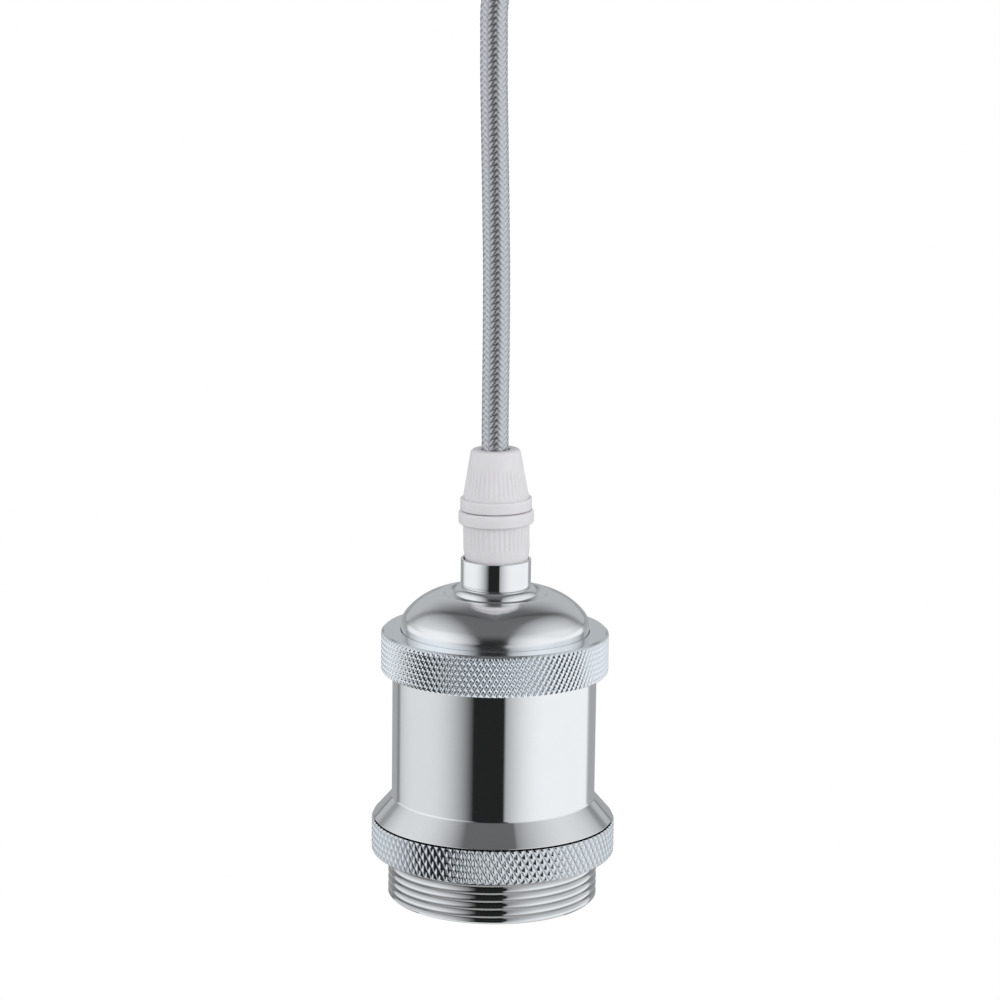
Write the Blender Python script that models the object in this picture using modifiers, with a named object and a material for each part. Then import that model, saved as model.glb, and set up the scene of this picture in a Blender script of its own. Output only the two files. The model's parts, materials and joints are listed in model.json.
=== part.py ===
"""Pendant lamp holder on a braided flex, hung from a small ceiling rose.

Metres, +Z up. The origin is the middle of the rose's flat ceiling face, and
everything hangs below it. Two empties carry the two ends: "rose" at the
ceiling and "holder" at the bottom edge of the lamp holder's outer thread.
"""
import math

import bmesh
import bpy
from mathutils import Matrix, Vector

# Clearances
SEAT_GAP = 0.0003
THREAD_GAP = 0.00035

# Sleeve with its flare and the outer thread that takes the shade ring
SLEEVE_RADIUS = 0.01925
SLEEVE_WALL = 0.00165
SLEEVE_HEIGHT = 0.04825
SHADE_THREAD_HEIGHT = 0.0006
SHADE_THREAD_LENGTH = 0.0154
SHADE_THREAD_CHAMFER = 0.0004
FLARE_INSET = 0.00035
FLARE_HEIGHT = 0.0041
FLARE_EDGE = 0.0002
LEDGE_HEIGHT = 0.0030
LEDGE_THICKNESS = 0.0015
LEDGE_REACH = 0.0019

# Shade ring on the outer thread, whose flare stands in by its inset
SHADE_RING_WALL = 0.00295
SHADE_RING_HEIGHT = 0.0063
SHADE_RING_BACKED_OFF = 0.0003
RING_EDGE = 0.0004

# Clamp ring that ties the dome to the sleeve
CLAMP_RING_RADIUS = 0.0215
CLAMP_RING_HEIGHT = 0.0077
CLAMP_RING_EDGE = 0.0006
CLAMP_RING_LIP = 0.0014

# Dome cap with its bead and the flange under the clamp ring
DOME_FOOT_RADIUS = 0.0177
DOME_WALL = 0.0014
DOME_FLANGE_THICKNESS = 0.0013
DOME_FLANGE_REACH = 0.0014
DOME_FOOT_RISE = 0.0010
KNUCKLE_RADIUS = 0.0033
CROWN_RADIUS = 0.0121
CROWN_OFFSET = 0.0075
CROWN_CREST_RADIUS = 0.0103
BEAD_RADIUS = 0.00805
BEAD_HEIGHT = 0.0022
BEAD_ROUND = 0.0011

# Neck bush, turned, with a spigot through the dome
NECK_RADIUS = 0.0066
NECK_HEIGHT = 0.0050
NECK_RIM_ROUND = 0.0003
NECK_MOUTH_DEPTH = 0.0024
SPIGOT_RADIUS = 0.0059
SPIGOT_LENGTH = 0.0081
HEX_NUT_ACROSS_FLATS = 0.0150
HEX_NUT_THICKNESS = 0.0023

# Nylon cord grip, the same at both ends of the flex, measured from its seat
GRIP_STEM_RADIUS = 0.00455
GRIP_STEM_LENGTH = 0.0055
GRIP_FOOT_RADIUS = 0.0058
GRIP_WAIST_RADIUS = 0.0062
GRIP_COLLAR_RADIUS = 0.00705
GRIP_COLLAR_START = 0.0092
GRIP_COLLAR_THICKNESS = 0.0025
GRIP_COLLET_RADIUS = 0.0042
GRIP_COLLET_LENGTH = 0.0055
GRIP_BORE_RADIUS = 0.0031
GRIP_BAND_RADIUS = 0.0067
GRIP_BAND_HEIGHT = 0.0020
GRIP_CONE_FOOT_RADIUS = 0.0062
GRIP_CONE_TIP_RADIUS = 0.00457
GRIP_CONE_HEIGHT = 0.0092
GRIP_TILT = math.radians(-1.2)
GRIP_TILT_PIVOT = 0.0080

# Flex
FLEX_RADIUS = 0.0025
CORE_RADIUS = 0.0008
CORE_SPREAD = 0.0014

# Lamp socket inside the sleeve
SHELL_INNER_RADIUS = 0.01285
SHELL_WAVE = 0.00055
SHELL_PITCH = 0.003629
SHELL_WALL = 0.0004
SHELL_TURNS = 5.0
SHELL_FLANGE_RADIUS = 0.0082
SHELL_NECK_HEIGHT = 0.0036
CERAMIC_TOP_DROP = 0.0057
CERAMIC_DECK_THICKNESS = 0.0110
CERAMIC_EDGE = 0.0006
POCKET_DEPTH = 0.0065
TERMINAL_SIZE = Vector((0.0070, 0.0084, 0.0050))
LIVE_SIDE = 0.0071
NEUTRAL_SIDE = -0.0087
LIVE_CONTACT_SCREW = 0.0052
NEUTRAL_CONTACT_SCREW = -0.0106
LIVE_WIRE = 0.0089
NEUTRAL_WIRE = -0.0069
WIRE_BORE_RADIUS = 0.00115
WIRE_DEPTH = 0.0028
CONTACT_THICKNESS = 0.0005
CONTACT_WIDTH = 0.0052
CONTACT_TIP_DROP = 0.0028

# Bridge that hangs the ceramic from the neck bush
BRIDGE_THICKNESS = 0.0010
BRIDGE_WIDTH = 0.0080
BRIDGE_HALF_SPAN = 0.0105
BRIDGE_FOOT_REACH = 0.0052
BRIDGE_DISC_RADIUS = 0.0095
BRIDGE_SCREW_OFFSET = 0.0130
EARTH_SCREW_DROP = 0.0052
EARTH_SCREW_HEAD = 0.0019
TAG_THICKNESS = 0.0008
TAG_WIDTH = 0.0056

# Screws: head radius, head height, shank radius
SMALL_SCREW_HEAD = 0.0023
SMALL_SCREW_HEAD_HEIGHT = 0.0016
SMALL_SCREW_SHANK = 0.00125
SIDE_SCREW_HEAD = 0.0032
SIDE_SCREW_HEAD_HEIGHT = 0.0022
SIDE_SCREW_SHANK = 0.0016

# Ceiling rose
ROSE_RADIUS = 0.0400
ROSE_HEIGHT = 0.0260
ROSE_WALL = 0.0012
ROSE_CORNER = 0.0060
BRACKET_THICKNESS = 0.0015
BRACKET_WIDTH = 0.0180
BRACKET_CLEARANCE = 0.0016
BRACKET_TAB_HEIGHT = 0.0120
BRACKET_CEILING_HOLE = 0.0022
BRACKET_CEILING_HOLE_OFFSET = 0.0220
SIDE_SCREW_DROP = 0.0070
BLOCK_SIZE = Vector((0.0270, 0.0160, 0.0120))
BLOCK_POLE_PITCH = 0.0090
BLOCK_BARREL_RADIUS = 0.0022
BLOCK_BARREL_BORE = 0.0015
BLOCK_BARREL_LENGTH = 0.0130
BLOCK_CLAMP_OFFSET = 0.0040
BLOCK_CLAMP_RADIUS = 0.0013
BLOCK_CLAMP_LENGTH = 0.0032

# Height of the rose's grip tip above the holder's bottom edge, just past the
# part of the flex that is seen
FLEX_REACH = 0.1721

# Facets round a turned piece
FINE = 40
MEDIUM = 24
COARSE = 12
SCREW_FACETS = 10

# Radii and lengths that follow from those above
SHADE_THREAD_RADIUS = SLEEVE_RADIUS + SHADE_THREAD_HEIGHT
SHADE_RING_BORE = SHADE_THREAD_RADIUS + SEAT_GAP
SHADE_RING_RADIUS = SHADE_RING_BORE + SHADE_RING_WALL
FLARE_RADIUS = SHADE_RING_RADIUS - FLARE_INSET
BRACKET_HALF_LENGTH = ROSE_RADIUS - ROSE_WALL - BRACKET_CLEARANCE

# Heights in the holder's frame, zero at the thread's bottom edge
CERAMIC_FOOT = LEDGE_HEIGHT + LEDGE_THICKNESS + SEAT_GAP
CERAMIC_RADIUS = SLEEVE_RADIUS - SLEEVE_WALL - SEAT_GAP
CERAMIC_TOP = SLEEVE_HEIGHT - CERAMIC_TOP_DROP
CERAMIC_DECK_UNDERSIDE = CERAMIC_TOP - CERAMIC_DECK_THICKNESS
CAVITY_RADIUS = SHELL_INNER_RADIUS + SHELL_WAVE + SHELL_WALL + SEAT_GAP
POCKET_FLOOR = CERAMIC_TOP - POCKET_DEPTH
TERMINAL_TOP = POCKET_FLOOR + SEAT_GAP + TERMINAL_SIZE.z
SHADE_RING_TOP = SHADE_THREAD_LENGTH - SHADE_RING_BACKED_OFF
FLANGE_UNDERSIDE = SLEEVE_HEIGHT + SEAT_GAP
FLANGE_TOP = FLANGE_UNDERSIDE + DOME_FLANGE_THICKNESS
CLAMP_RING_TOP = FLANGE_TOP + SEAT_GAP + CLAMP_RING_LIP
KNUCKLE_CENTRE = (DOME_FOOT_RADIUS - KNUCKLE_RADIUS, CLAMP_RING_TOP + DOME_FOOT_RISE)
CROWN_DROP = math.sqrt((CROWN_RADIUS - KNUCKLE_RADIUS) ** 2 - (KNUCKLE_CENTRE[0] - CROWN_OFFSET) ** 2)
CROWN_CENTRE = (CROWN_OFFSET, KNUCKLE_CENTRE[1] - CROWN_DROP)
KNUCKLE_ANGLE = math.degrees(math.acos((KNUCKLE_CENTRE[0] - CROWN_OFFSET) / (CROWN_RADIUS - KNUCKLE_RADIUS)))
CROWN_CREST_ANGLE = math.degrees(math.acos((CROWN_CREST_RADIUS - CROWN_OFFSET) / CROWN_RADIUS))
DOME_TOP = CROWN_CENTRE[1] + CROWN_RADIUS - 0.0014
BEAD_TOP = DOME_TOP + BEAD_HEIGHT
NECK_FOOT = BEAD_TOP + SEAT_GAP
NECK_TOP = NECK_FOOT + NECK_HEIGHT
GRIP_SEAT = NECK_TOP - NECK_MOUTH_DEPTH
BRIDGE_TOP = DOME_TOP - DOME_WALL - SEAT_GAP
BRIDGE_UNDERSIDE = BRIDGE_TOP - BRIDGE_THICKNESS
BRIDGE_FOOT = CERAMIC_TOP + SEAT_GAP
SPIGOT_FOOT = NECK_FOOT - SPIGOT_LENGTH
FLEX_LOWER_END = SPIGOT_FOOT - 0.0010
GRIP_NUT_START = GRIP_COLLAR_START + GRIP_COLLAR_THICKNESS + SEAT_GAP
GRIP_LENGTH = GRIP_NUT_START + GRIP_BAND_HEIGHT + GRIP_CONE_HEIGHT
CEILING_HEIGHT = FLEX_REACH + GRIP_LENGTH + ROSE_HEIGHT
FLEX_UPPER_END = CEILING_HEIGHT - ROSE_HEIGHT + GRIP_STEM_LENGTH + 0.0010


def clear_scene():
    for item in list(bpy.data.objects):
        bpy.data.objects.remove(item, do_unlink=True)


def make_collection(name):
    collection = bpy.data.collections.new(name)
    bpy.context.scene.collection.children.link(collection)
    return collection


def make_material(name, colour, roughness, metallic):
    material = bpy.data.materials.new(name)
    material.use_nodes = True
    shader = material.node_tree.nodes["Principled BSDF"]
    shader.inputs["Base Color"].default_value = (*colour, 1.0)
    shader.inputs["Roughness"].default_value = roughness
    shader.inputs["Metallic"].default_value = metallic
    material.diffuse_color = (*colour, 1.0)
    return material


clear_scene()
PARTS = make_collection("pendant_lamp_holder")
CUTTERS = make_collection("cutters")

CHROME = make_material("polished_chrome", (0.80, 0.81, 0.82), 0.06, 1.0)
SATIN_CHROME = make_material("satin_chrome", (0.76, 0.77, 0.78), 0.25, 1.0)
NYLON = make_material("white_nylon", (0.82, 0.82, 0.83), 0.45, 0.0)
BRAID = make_material("silver_braid", (0.50, 0.51, 0.53), 0.40, 0.2)
PORCELAIN = make_material("white_porcelain", (0.86, 0.85, 0.82), 0.30, 0.0)
BRASS = make_material("brass", (0.80, 0.62, 0.28), 0.28, 1.0)
ZINC_STEEL = make_material("zinc_plated_steel", (0.62, 0.63, 0.64), 0.35, 1.0)
CORE_COLOURS = {
    "live": make_material("core_brown", (0.22, 0.09, 0.04), 0.45, 0.0),
    "neutral": make_material("core_blue", (0.04, 0.14, 0.45), 0.45, 0.0),
    "earth": make_material("core_green", (0.12, 0.42, 0.10), 0.45, 0.0),
}


def add_object(name, data, material, parent, collection=PARTS):
    item = bpy.data.objects.new(name, data)
    collection.objects.link(item)
    item.parent = parent
    if material:
        data.materials.clear()
        data.materials.append(material)
    return item


def add_empty(name, location, rotation=(0.0, 0.0, 0.0), parent=None):
    empty = bpy.data.objects.new(name, None)
    empty.empty_display_size = 0.01
    empty.location = location
    empty.rotation_euler = rotation
    empty.parent = parent
    PARTS.objects.link(empty)
    return empty


def settle(item):
    """Replace an object's data by its evaluated mesh, smooth but for sharp edges."""
    bpy.context.view_layer.update()
    graph = bpy.context.evaluated_depsgraph_get()
    mesh = bpy.data.meshes.new_from_object(item.evaluated_get(graph), depsgraph=graph)
    item.modifiers.clear()
    item.data = mesh
    mesh.shade_smooth()
    mesh.set_sharp_from_angle(angle=math.radians(32))
    return item


def as_cutter(item):
    item.hide_render = True
    item.display_type = "WIRE"
    return item


def boolean(item, other, operation):
    modifier = item.modifiers.new(operation.lower(), "BOOLEAN")
    modifier.operation = operation
    modifier.solver = "EXACT"
    modifier.object = as_cutter(other)
    return item


def turned(name, profile, facets, material, parent, closed=True, collection=PARTS):
    """Turn a profile of (radius, height) points that runs down its outer side."""
    mesh = bpy.data.meshes.new(name)
    points = [(radius, 0.0, height) for radius, height in profile]
    edges = [(i, i + 1) for i in range(len(points) - 1)]
    if closed:
        edges.append((len(points) - 1, 0))
    mesh.from_pydata(points, edges, [])
    item = add_object(name, mesh, material, parent, collection)
    screw = item.modifiers.new("turn", "SCREW")
    screw.axis = "Z"
    screw.angle = math.tau
    screw.steps = facets
    screw.render_steps = facets
    screw.use_merge_vertices = True
    screw.merge_threshold = 0.00001
    return settle(item)


def arc(centre, radii, start, end, steps):
    """Points of an elliptic arc, angles in degrees from +radius towards +height."""
    points = []
    for i in range(steps + 1):
        angle = math.radians(start + (end - start) * i / steps)
        points.append((centre[0] + radii[0] * math.cos(angle), centre[1] + radii[1] * math.sin(angle)))
    return points


def block(name, size, centre, material, parent, collection=PARTS):
    mesh = bpy.data.meshes.new(name)
    shape = bmesh.new()
    bmesh.ops.create_cube(shape, size=1.0)
    bmesh.ops.scale(shape, vec=size, verts=shape.verts)
    shape.to_mesh(mesh)
    shape.free()
    item = add_object(name, mesh, material, parent, collection)
    item.location = centre
    return item


def rod(name, radius, length, centre, axis, facets, material, parent, collection=PARTS):
    mesh = bpy.data.meshes.new(name)
    shape = bmesh.new()
    bmesh.ops.create_cone(
        shape, cap_ends=True, segments=facets, radius1=radius, radius2=radius, depth=length)
    shape.to_mesh(mesh)
    shape.free()
    item = add_object(name, mesh, material, parent, collection)
    item.location = centre
    item.rotation_euler = Vector(axis).to_track_quat("Z", "Y").to_euler()
    return item


def drill(item, radius, length, centre, axis, facets=COARSE):
    """Cut a round hole, given in the frame of the item's parent."""
    cutter = rod(item.name + "_drill", radius, length, centre, axis, facets, None, item.parent, CUTTERS)
    return boolean(item, cutter, "DIFFERENCE")


def wire(name, points, radius, material, parent):
    """A round wire as a poly curve with filled ends."""
    data = bpy.data.curves.new(name, "CURVE")
    data.dimensions = "3D"
    data.bevel_depth = radius
    data.bevel_resolution = 2
    data.use_fill_caps = True
    spline = data.splines.new("POLY")
    spline.points.add(len(points) - 1)
    for target, point in zip(spline.points, points):
        target.co = (*point, 1.0)
    return add_object(name, data, material, parent)


def smooth_route(points, steps):
    """Catmull-Rom curve through hand-set points, with a few steps to each span."""
    knots = [Vector(point) for point in points]
    knots = [2 * knots[0] - knots[1]] + knots + [2 * knots[-1] - knots[-2]]
    route = []
    for before, start, end, after in zip(knots, knots[1:], knots[2:], knots[3:]):
        for i in range(steps):
            t = i / steps
            route.append(0.5 * (2 * start + (end - before) * t
                                + (2 * before - 5 * start + 4 * end - after) * t ** 2
                                + (3 * start - before - 3 * end + after) * t ** 3))
    route.append(knots[-2])
    return route


def strip(name, path, thickness, width, material, parent):
    """A bent strip: a side path of (run, height) points, widened along Y, then thickened."""
    mesh = bpy.data.meshes.new(name)
    shape = bmesh.new()
    corners = [shape.verts.new((run, -width / 2, height)) for run, height in path]
    edges = [shape.edges.new(pair) for pair in zip(corners, corners[1:])]
    swept = bmesh.ops.extrude_edge_only(shape, edges=edges)
    moved = [element for element in swept["geom"] if isinstance(element, bmesh.types.BMVert)]
    bmesh.ops.translate(shape, vec=(0.0, width, 0.0), verts=moved)
    shape.to_mesh(mesh)
    shape.free()
    item = add_object(name, mesh, material, parent)
    solidify = item.modifiers.new("thickness", "SOLIDIFY")
    solidify.thickness = thickness
    solidify.offset = 0.0
    solidify.use_even_offset = True
    return item


def screw_mesh(name, head_radius, head_height, shank_radius, shank_length, material):
    """A slotted screw, head up, with z zero under its head."""
    slot_width = head_radius * 0.3
    profile = [
        (0.0, head_height),
        (head_radius * 0.8, head_height),
        (head_radius, head_height * 0.7),
        (head_radius, 0.0),
        (shank_radius, 0.0),
        (shank_radius, -shank_length + shank_radius * 0.4),
        (shank_radius * 0.6, -shank_length),
        (0.0, -shank_length),
    ]
    item = turned(name, profile, SCREW_FACETS, material, None, closed=False)
    slot = block(name + "_slot", (head_radius * 3, slot_width, head_height), (0.0, 0.0, head_height),
                 None, None, CUTTERS)
    boolean(item, slot, "DIFFERENCE")
    settle(item)
    mesh = item.data
    bpy.data.objects.remove(item)
    bpy.data.objects.remove(slot)
    return mesh


def place_screw(name, mesh, head_seat, outward, parent):
    """Place a screw with its head's underside at head_seat, its head towards outward."""
    item = bpy.data.objects.new(name, mesh)
    PARTS.objects.link(item)
    item.parent = parent
    item.location = head_seat
    item.rotation_euler = Vector(outward).to_track_quat("Z", "Y").to_euler()
    return item


def hex_nut(name, bore, foot, parent):
    """A hexagon nut that stands on foot, its flats towards +X and -X."""
    corner_radius = HEX_NUT_ACROSS_FLATS / math.sqrt(3)
    middle = (0.0, 0.0, foot + HEX_NUT_THICKNESS / 2)
    nut = rod(name, corner_radius, HEX_NUT_THICKNESS, middle, (0, 0, 1), 6, ZINC_STEEL, parent)
    return drill(nut, bore, HEX_NUT_THICKNESS * 2, middle, (0, 0, 1), MEDIUM)


# Outer pieces of the lamp holder

def build_sleeve(holder):
    bore = SLEEVE_RADIUS - SLEEVE_WALL
    ledge_top = LEDGE_HEIGHT + LEDGE_THICKNESS
    profile = [
        (bore, SLEEVE_HEIGHT),
        (SLEEVE_RADIUS, SLEEVE_HEIGHT),
        (SLEEVE_RADIUS, SHADE_THREAD_LENGTH + FLARE_HEIGHT),
        (FLARE_RADIUS - FLARE_EDGE / 3, SHADE_THREAD_LENGTH + FLARE_EDGE),
        (FLARE_RADIUS, SHADE_THREAD_LENGTH + FLARE_EDGE * 2 / 3),
        (FLARE_RADIUS, SHADE_THREAD_LENGTH),
        (SHADE_THREAD_RADIUS, SHADE_THREAD_LENGTH),
        (SHADE_THREAD_RADIUS, SHADE_THREAD_CHAMFER),
        (SHADE_THREAD_RADIUS - SHADE_THREAD_CHAMFER, 0.0),
        (bore, 0.0),
        (bore, LEDGE_HEIGHT),
        (bore - LEDGE_REACH, LEDGE_HEIGHT),
        (bore - LEDGE_REACH, ledge_top),
        (bore, ledge_top),
    ]
    return turned("body_sleeve", profile, FINE, CHROME, holder)


def build_shade_ring(holder):
    """The knurled ring, with its bore just clear of the thread it runs on."""
    foot = SHADE_RING_TOP - SHADE_RING_HEIGHT
    profile = [
        (SHADE_RING_BORE, SHADE_RING_TOP),
        (SHADE_RING_RADIUS - RING_EDGE, SHADE_RING_TOP),
        (SHADE_RING_RADIUS, SHADE_RING_TOP - RING_EDGE),
        (SHADE_RING_RADIUS, foot + RING_EDGE),
        (SHADE_RING_RADIUS - RING_EDGE, foot),
        (SHADE_RING_BORE, foot),
    ]
    return turned("shade_ring", profile, FINE, SATIN_CHROME, holder)


def build_clamp_ring(holder):
    bore = SLEEVE_RADIUS + SEAT_GAP
    lip_bore = DOME_FOOT_RADIUS + THREAD_GAP
    foot = CLAMP_RING_TOP - CLAMP_RING_HEIGHT
    profile = [
        (lip_bore, CLAMP_RING_TOP),
        (CLAMP_RING_RADIUS - CLAMP_RING_EDGE, CLAMP_RING_TOP),
        (CLAMP_RING_RADIUS, CLAMP_RING_TOP - CLAMP_RING_EDGE),
        (CLAMP_RING_RADIUS, foot + RING_EDGE),
        (CLAMP_RING_RADIUS - RING_EDGE, foot),
        (bore, foot),
        (bore, CLAMP_RING_TOP - CLAMP_RING_LIP),
        (lip_bore, CLAMP_RING_TOP - CLAMP_RING_LIP),
    ]
    return turned("clamp_ring", profile, FINE, SATIN_CHROME, holder)


def build_dome(holder):
    """A spun cap: a bead in a shallow groove, the crown, a tighter knuckle, and a flange."""
    hole = SPIGOT_RADIUS + SEAT_GAP
    inner_foot = DOME_FOOT_RADIUS - DOME_WALL
    inner_top = DOME_TOP - DOME_WALL
    inner_crown = CROWN_RADIUS - DOME_WALL
    inner_angle = math.degrees(math.asin((inner_top - CROWN_CENTRE[1]) / inner_crown))
    flange_radius = DOME_FOOT_RADIUS + DOME_FLANGE_REACH
    crest_height = CROWN_CENTRE[1] + CROWN_RADIUS * math.sin(math.radians(CROWN_CREST_ANGLE))
    profile = [(hole, BEAD_TOP)]
    profile += arc((BEAD_RADIUS - BEAD_ROUND, BEAD_TOP - BEAD_ROUND), (BEAD_ROUND, BEAD_ROUND), 90, 0, 3)
    profile += [
        (BEAD_RADIUS, DOME_TOP + 0.0002),
        (BEAD_RADIUS + 0.0003, DOME_TOP),
        (BEAD_RADIUS + 0.0009, DOME_TOP + 0.00025),
        (CROWN_CREST_RADIUS - 0.0006, crest_height - 0.00015),
    ]
    profile += arc(CROWN_CENTRE, (CROWN_RADIUS, CROWN_RADIUS), CROWN_CREST_ANGLE, KNUCKLE_ANGLE, 5)
    profile += arc(KNUCKLE_CENTRE, (KNUCKLE_RADIUS, KNUCKLE_RADIUS), KNUCKLE_ANGLE, 0, 4)[1:]
    profile += [
        (DOME_FOOT_RADIUS, FLANGE_TOP),
        (flange_radius, FLANGE_TOP),
        (flange_radius, FLANGE_UNDERSIDE),
        (inner_foot, FLANGE_UNDERSIDE),
    ]
    inner_knuckle = KNUCKLE_RADIUS - DOME_WALL
    profile += arc(KNUCKLE_CENTRE, (inner_knuckle, inner_knuckle), 0, KNUCKLE_ANGLE, 2)
    profile += arc(CROWN_CENTRE, (inner_crown, inner_crown), KNUCKLE_ANGLE, inner_angle, 3)[1:]
    profile.append((hole, inner_top))
    return turned("dome_cap", profile, FINE, SATIN_CHROME, holder)


def build_neck(holder):
    """The polished neck: a threaded bush whose spigot passes through the dome."""
    bore = GRIP_STEM_RADIUS + THREAD_GAP
    mouth = GRIP_FOOT_RADIUS + SEAT_GAP
    profile = [
        (mouth, NECK_TOP - NECK_RIM_ROUND * 0.5),
        (mouth + NECK_RIM_ROUND * 0.5, NECK_TOP),
        (NECK_RADIUS - NECK_RIM_ROUND, NECK_TOP),
        (NECK_RADIUS, NECK_TOP - NECK_RIM_ROUND),
        (NECK_RADIUS, NECK_FOOT),
        (SPIGOT_RADIUS, NECK_FOOT),
        (SPIGOT_RADIUS, SPIGOT_FOOT),
        (bore, SPIGOT_FOOT),
        (bore, GRIP_SEAT),
        (mouth, GRIP_SEAT),
    ]
    bush = turned("neck_bush", profile, FINE, CHROME, holder)
    nut_foot = BRIDGE_UNDERSIDE - SEAT_GAP - HEX_NUT_THICKNESS
    hex_nut("neck_bush_locknut", SPIGOT_RADIUS + SEAT_GAP, nut_foot, holder)
    return bush


def build_cord_grip(prefix, seat):
    """A nylon grip standing on its seat: threaded body with a collet, and a cone nut."""
    collar_top = GRIP_COLLAR_START + GRIP_COLLAR_THICKNESS
    collar_round = GRIP_COLLAR_THICKNESS / 4
    collet_top = collar_top + GRIP_COLLET_LENGTH
    body_profile = [
        (GRIP_BORE_RADIUS, collet_top),
        (GRIP_COLLET_RADIUS, collet_top),
        (GRIP_COLLET_RADIUS, collar_top),
        (GRIP_COLLAR_RADIUS - collar_round, collar_top),
        (GRIP_COLLAR_RADIUS, collar_top - collar_round),
        (GRIP_COLLAR_RADIUS, GRIP_COLLAR_START + collar_round),
        (GRIP_COLLAR_RADIUS - collar_round, GRIP_COLLAR_START),
        (GRIP_WAIST_RADIUS, GRIP_COLLAR_START),
        (GRIP_FOOT_RADIUS, SEAT_GAP + (GRIP_COLLAR_START - SEAT_GAP) / 3),
        (GRIP_FOOT_RADIUS, SEAT_GAP),
        (GRIP_STEM_RADIUS, SEAT_GAP),
        (GRIP_STEM_RADIUS, -GRIP_STEM_LENGTH),
        (GRIP_BORE_RADIUS, -GRIP_STEM_LENGTH),
    ]
    body = turned(prefix + "grip_body", body_profile, MEDIUM, NYLON, seat)
    cavity = GRIP_COLLET_RADIUS + THREAD_GAP
    cavity_top = collet_top + SEAT_GAP
    band_top = GRIP_NUT_START + GRIP_BAND_HEIGHT
    tip_round = (GRIP_CONE_TIP_RADIUS - GRIP_BORE_RADIUS) / 4
    nut_profile = [
        (GRIP_BORE_RADIUS, GRIP_LENGTH),
        (GRIP_CONE_TIP_RADIUS - tip_round, GRIP_LENGTH),
        (GRIP_CONE_TIP_RADIUS, GRIP_LENGTH - tip_round),
        (GRIP_CONE_FOOT_RADIUS, band_top + tip_round),
        (GRIP_BAND_RADIUS, band_top),
        (GRIP_BAND_RADIUS, GRIP_NUT_START),
        (cavity, GRIP_NUT_START),
        (cavity, cavity_top),
        (GRIP_BORE_RADIUS, cavity_top),
    ]
    nut = turned(prefix + "grip_nut", nut_profile, MEDIUM, NYLON, seat)
    return body, nut


# Inner pieces of the lamp holder

def build_ceramic(holder):
    """The porcelain insert: a skirt round the screw shell, and a deck with two pockets."""
    outer = CERAMIC_RADIUS
    profile = [
        (0.0, CERAMIC_TOP),
        (outer - CERAMIC_EDGE, CERAMIC_TOP),
        (outer, CERAMIC_TOP - CERAMIC_EDGE),
        (outer, CERAMIC_FOOT + CERAMIC_EDGE),
        (outer - CERAMIC_EDGE, CERAMIC_FOOT),
        (CAVITY_RADIUS, CERAMIC_FOOT),
        (CAVITY_RADIUS, CERAMIC_DECK_UNDERSIDE),
        (0.0, CERAMIC_DECK_UNDERSIDE),
    ]
    ceramic = turned("ceramic_core", profile, MEDIUM, PORCELAIN, holder, closed=False)
    margin = SEAT_GAP
    head_room = SEAT_GAP * 2 + SMALL_SCREW_HEAD_HEIGHT + 0.0006
    for side in (LIVE_SIDE, NEUTRAL_SIDE):
        size = (TERMINAL_SIZE.x + margin * 2 + head_room, TERMINAL_SIZE.y + margin * 2, POCKET_DEPTH * 2)
        pocket = block("ceramic_pocket", size, (head_room / 2, side, POCKET_FLOOR + POCKET_DEPTH),
                       None, holder, CUTTERS)
        boolean(ceramic, pocket, "DIFFERENCE")
    screw_hole = SMALL_SCREW_SHANK + THREAD_GAP
    deck_middle = (CERAMIC_DECK_UNDERSIDE + CERAMIC_TOP) / 2
    for place in (LIVE_CONTACT_SCREW, NEUTRAL_CONTACT_SCREW):
        drill(ceramic, screw_hole, CERAMIC_DECK_THICKNESS * 2, (0.0, place, deck_middle), (0, 0, 1))
    for sign in (1, -1):
        drill(ceramic, screw_hole, CERAMIC_DECK_THICKNESS,
              (sign * BRIDGE_SCREW_OFFSET, 0.0, CERAMIC_TOP), (0, 0, 1))
    return ceramic


def build_screw_shell(holder):
    """The rolled lamp thread: a sheet rolled to a tube, waved along a helix, with a top flange."""
    flange_height = CERAMIC_DECK_UNDERSIDE - SEAT_GAP - SHELL_WALL
    thread_top = flange_height - SHELL_NECK_HEIGHT
    wave_radius = SHELL_INNER_RADIUS + SHELL_WAVE
    steps_per_turn = 4
    rows = [(SHELL_FLANGE_RADIUS, flange_height, 0.0), (wave_radius, flange_height, 0.0)]
    count = round(SHELL_TURNS * steps_per_turn)
    for i in range(count + 1):
        fade = min(1.0, i / 2, (count - i) / 2)
        height = thread_top - SHELL_PITCH * i / steps_per_turn
        rows.append((wave_radius - SHELL_WAVE * fade, height, SHELL_WAVE * fade))
    facets = MEDIUM
    mesh = bpy.data.meshes.new("screw_shell")
    shape = bmesh.new()
    bmesh.ops.create_grid(shape, x_segments=facets, y_segments=len(rows) - 1, size=1.0)
    for vert in shape.verts:
        turn = (vert.co.x + 1.0) / 2
        radius, height, wave = rows[round((vert.co.y + 1.0) / 2 * (len(rows) - 1))]
        angle = math.tau * turn
        radius += wave * math.cos(math.tau * height / SHELL_PITCH - angle)
        vert.co = (radius * math.cos(angle), radius * math.sin(angle), height)
    bmesh.ops.remove_doubles(shape, verts=shape.verts, dist=0.000001)
    bmesh.ops.recalc_face_normals(shape, faces=shape.faces)
    shape.to_mesh(mesh)
    shape.free()
    shell = add_object("screw_shell", mesh, BRASS, holder)
    solidify = shell.modifiers.new("sheet", "SOLIDIFY")
    solidify.thickness = SHELL_WALL
    solidify.offset = 1.0
    solidify.use_even_offset = True
    settle(shell)
    drill(shell, SMALL_SCREW_SHANK + THREAD_GAP, 0.004,
          (0.0, NEUTRAL_CONTACT_SCREW, flange_height), (0, 0, 1))
    return shell


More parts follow.
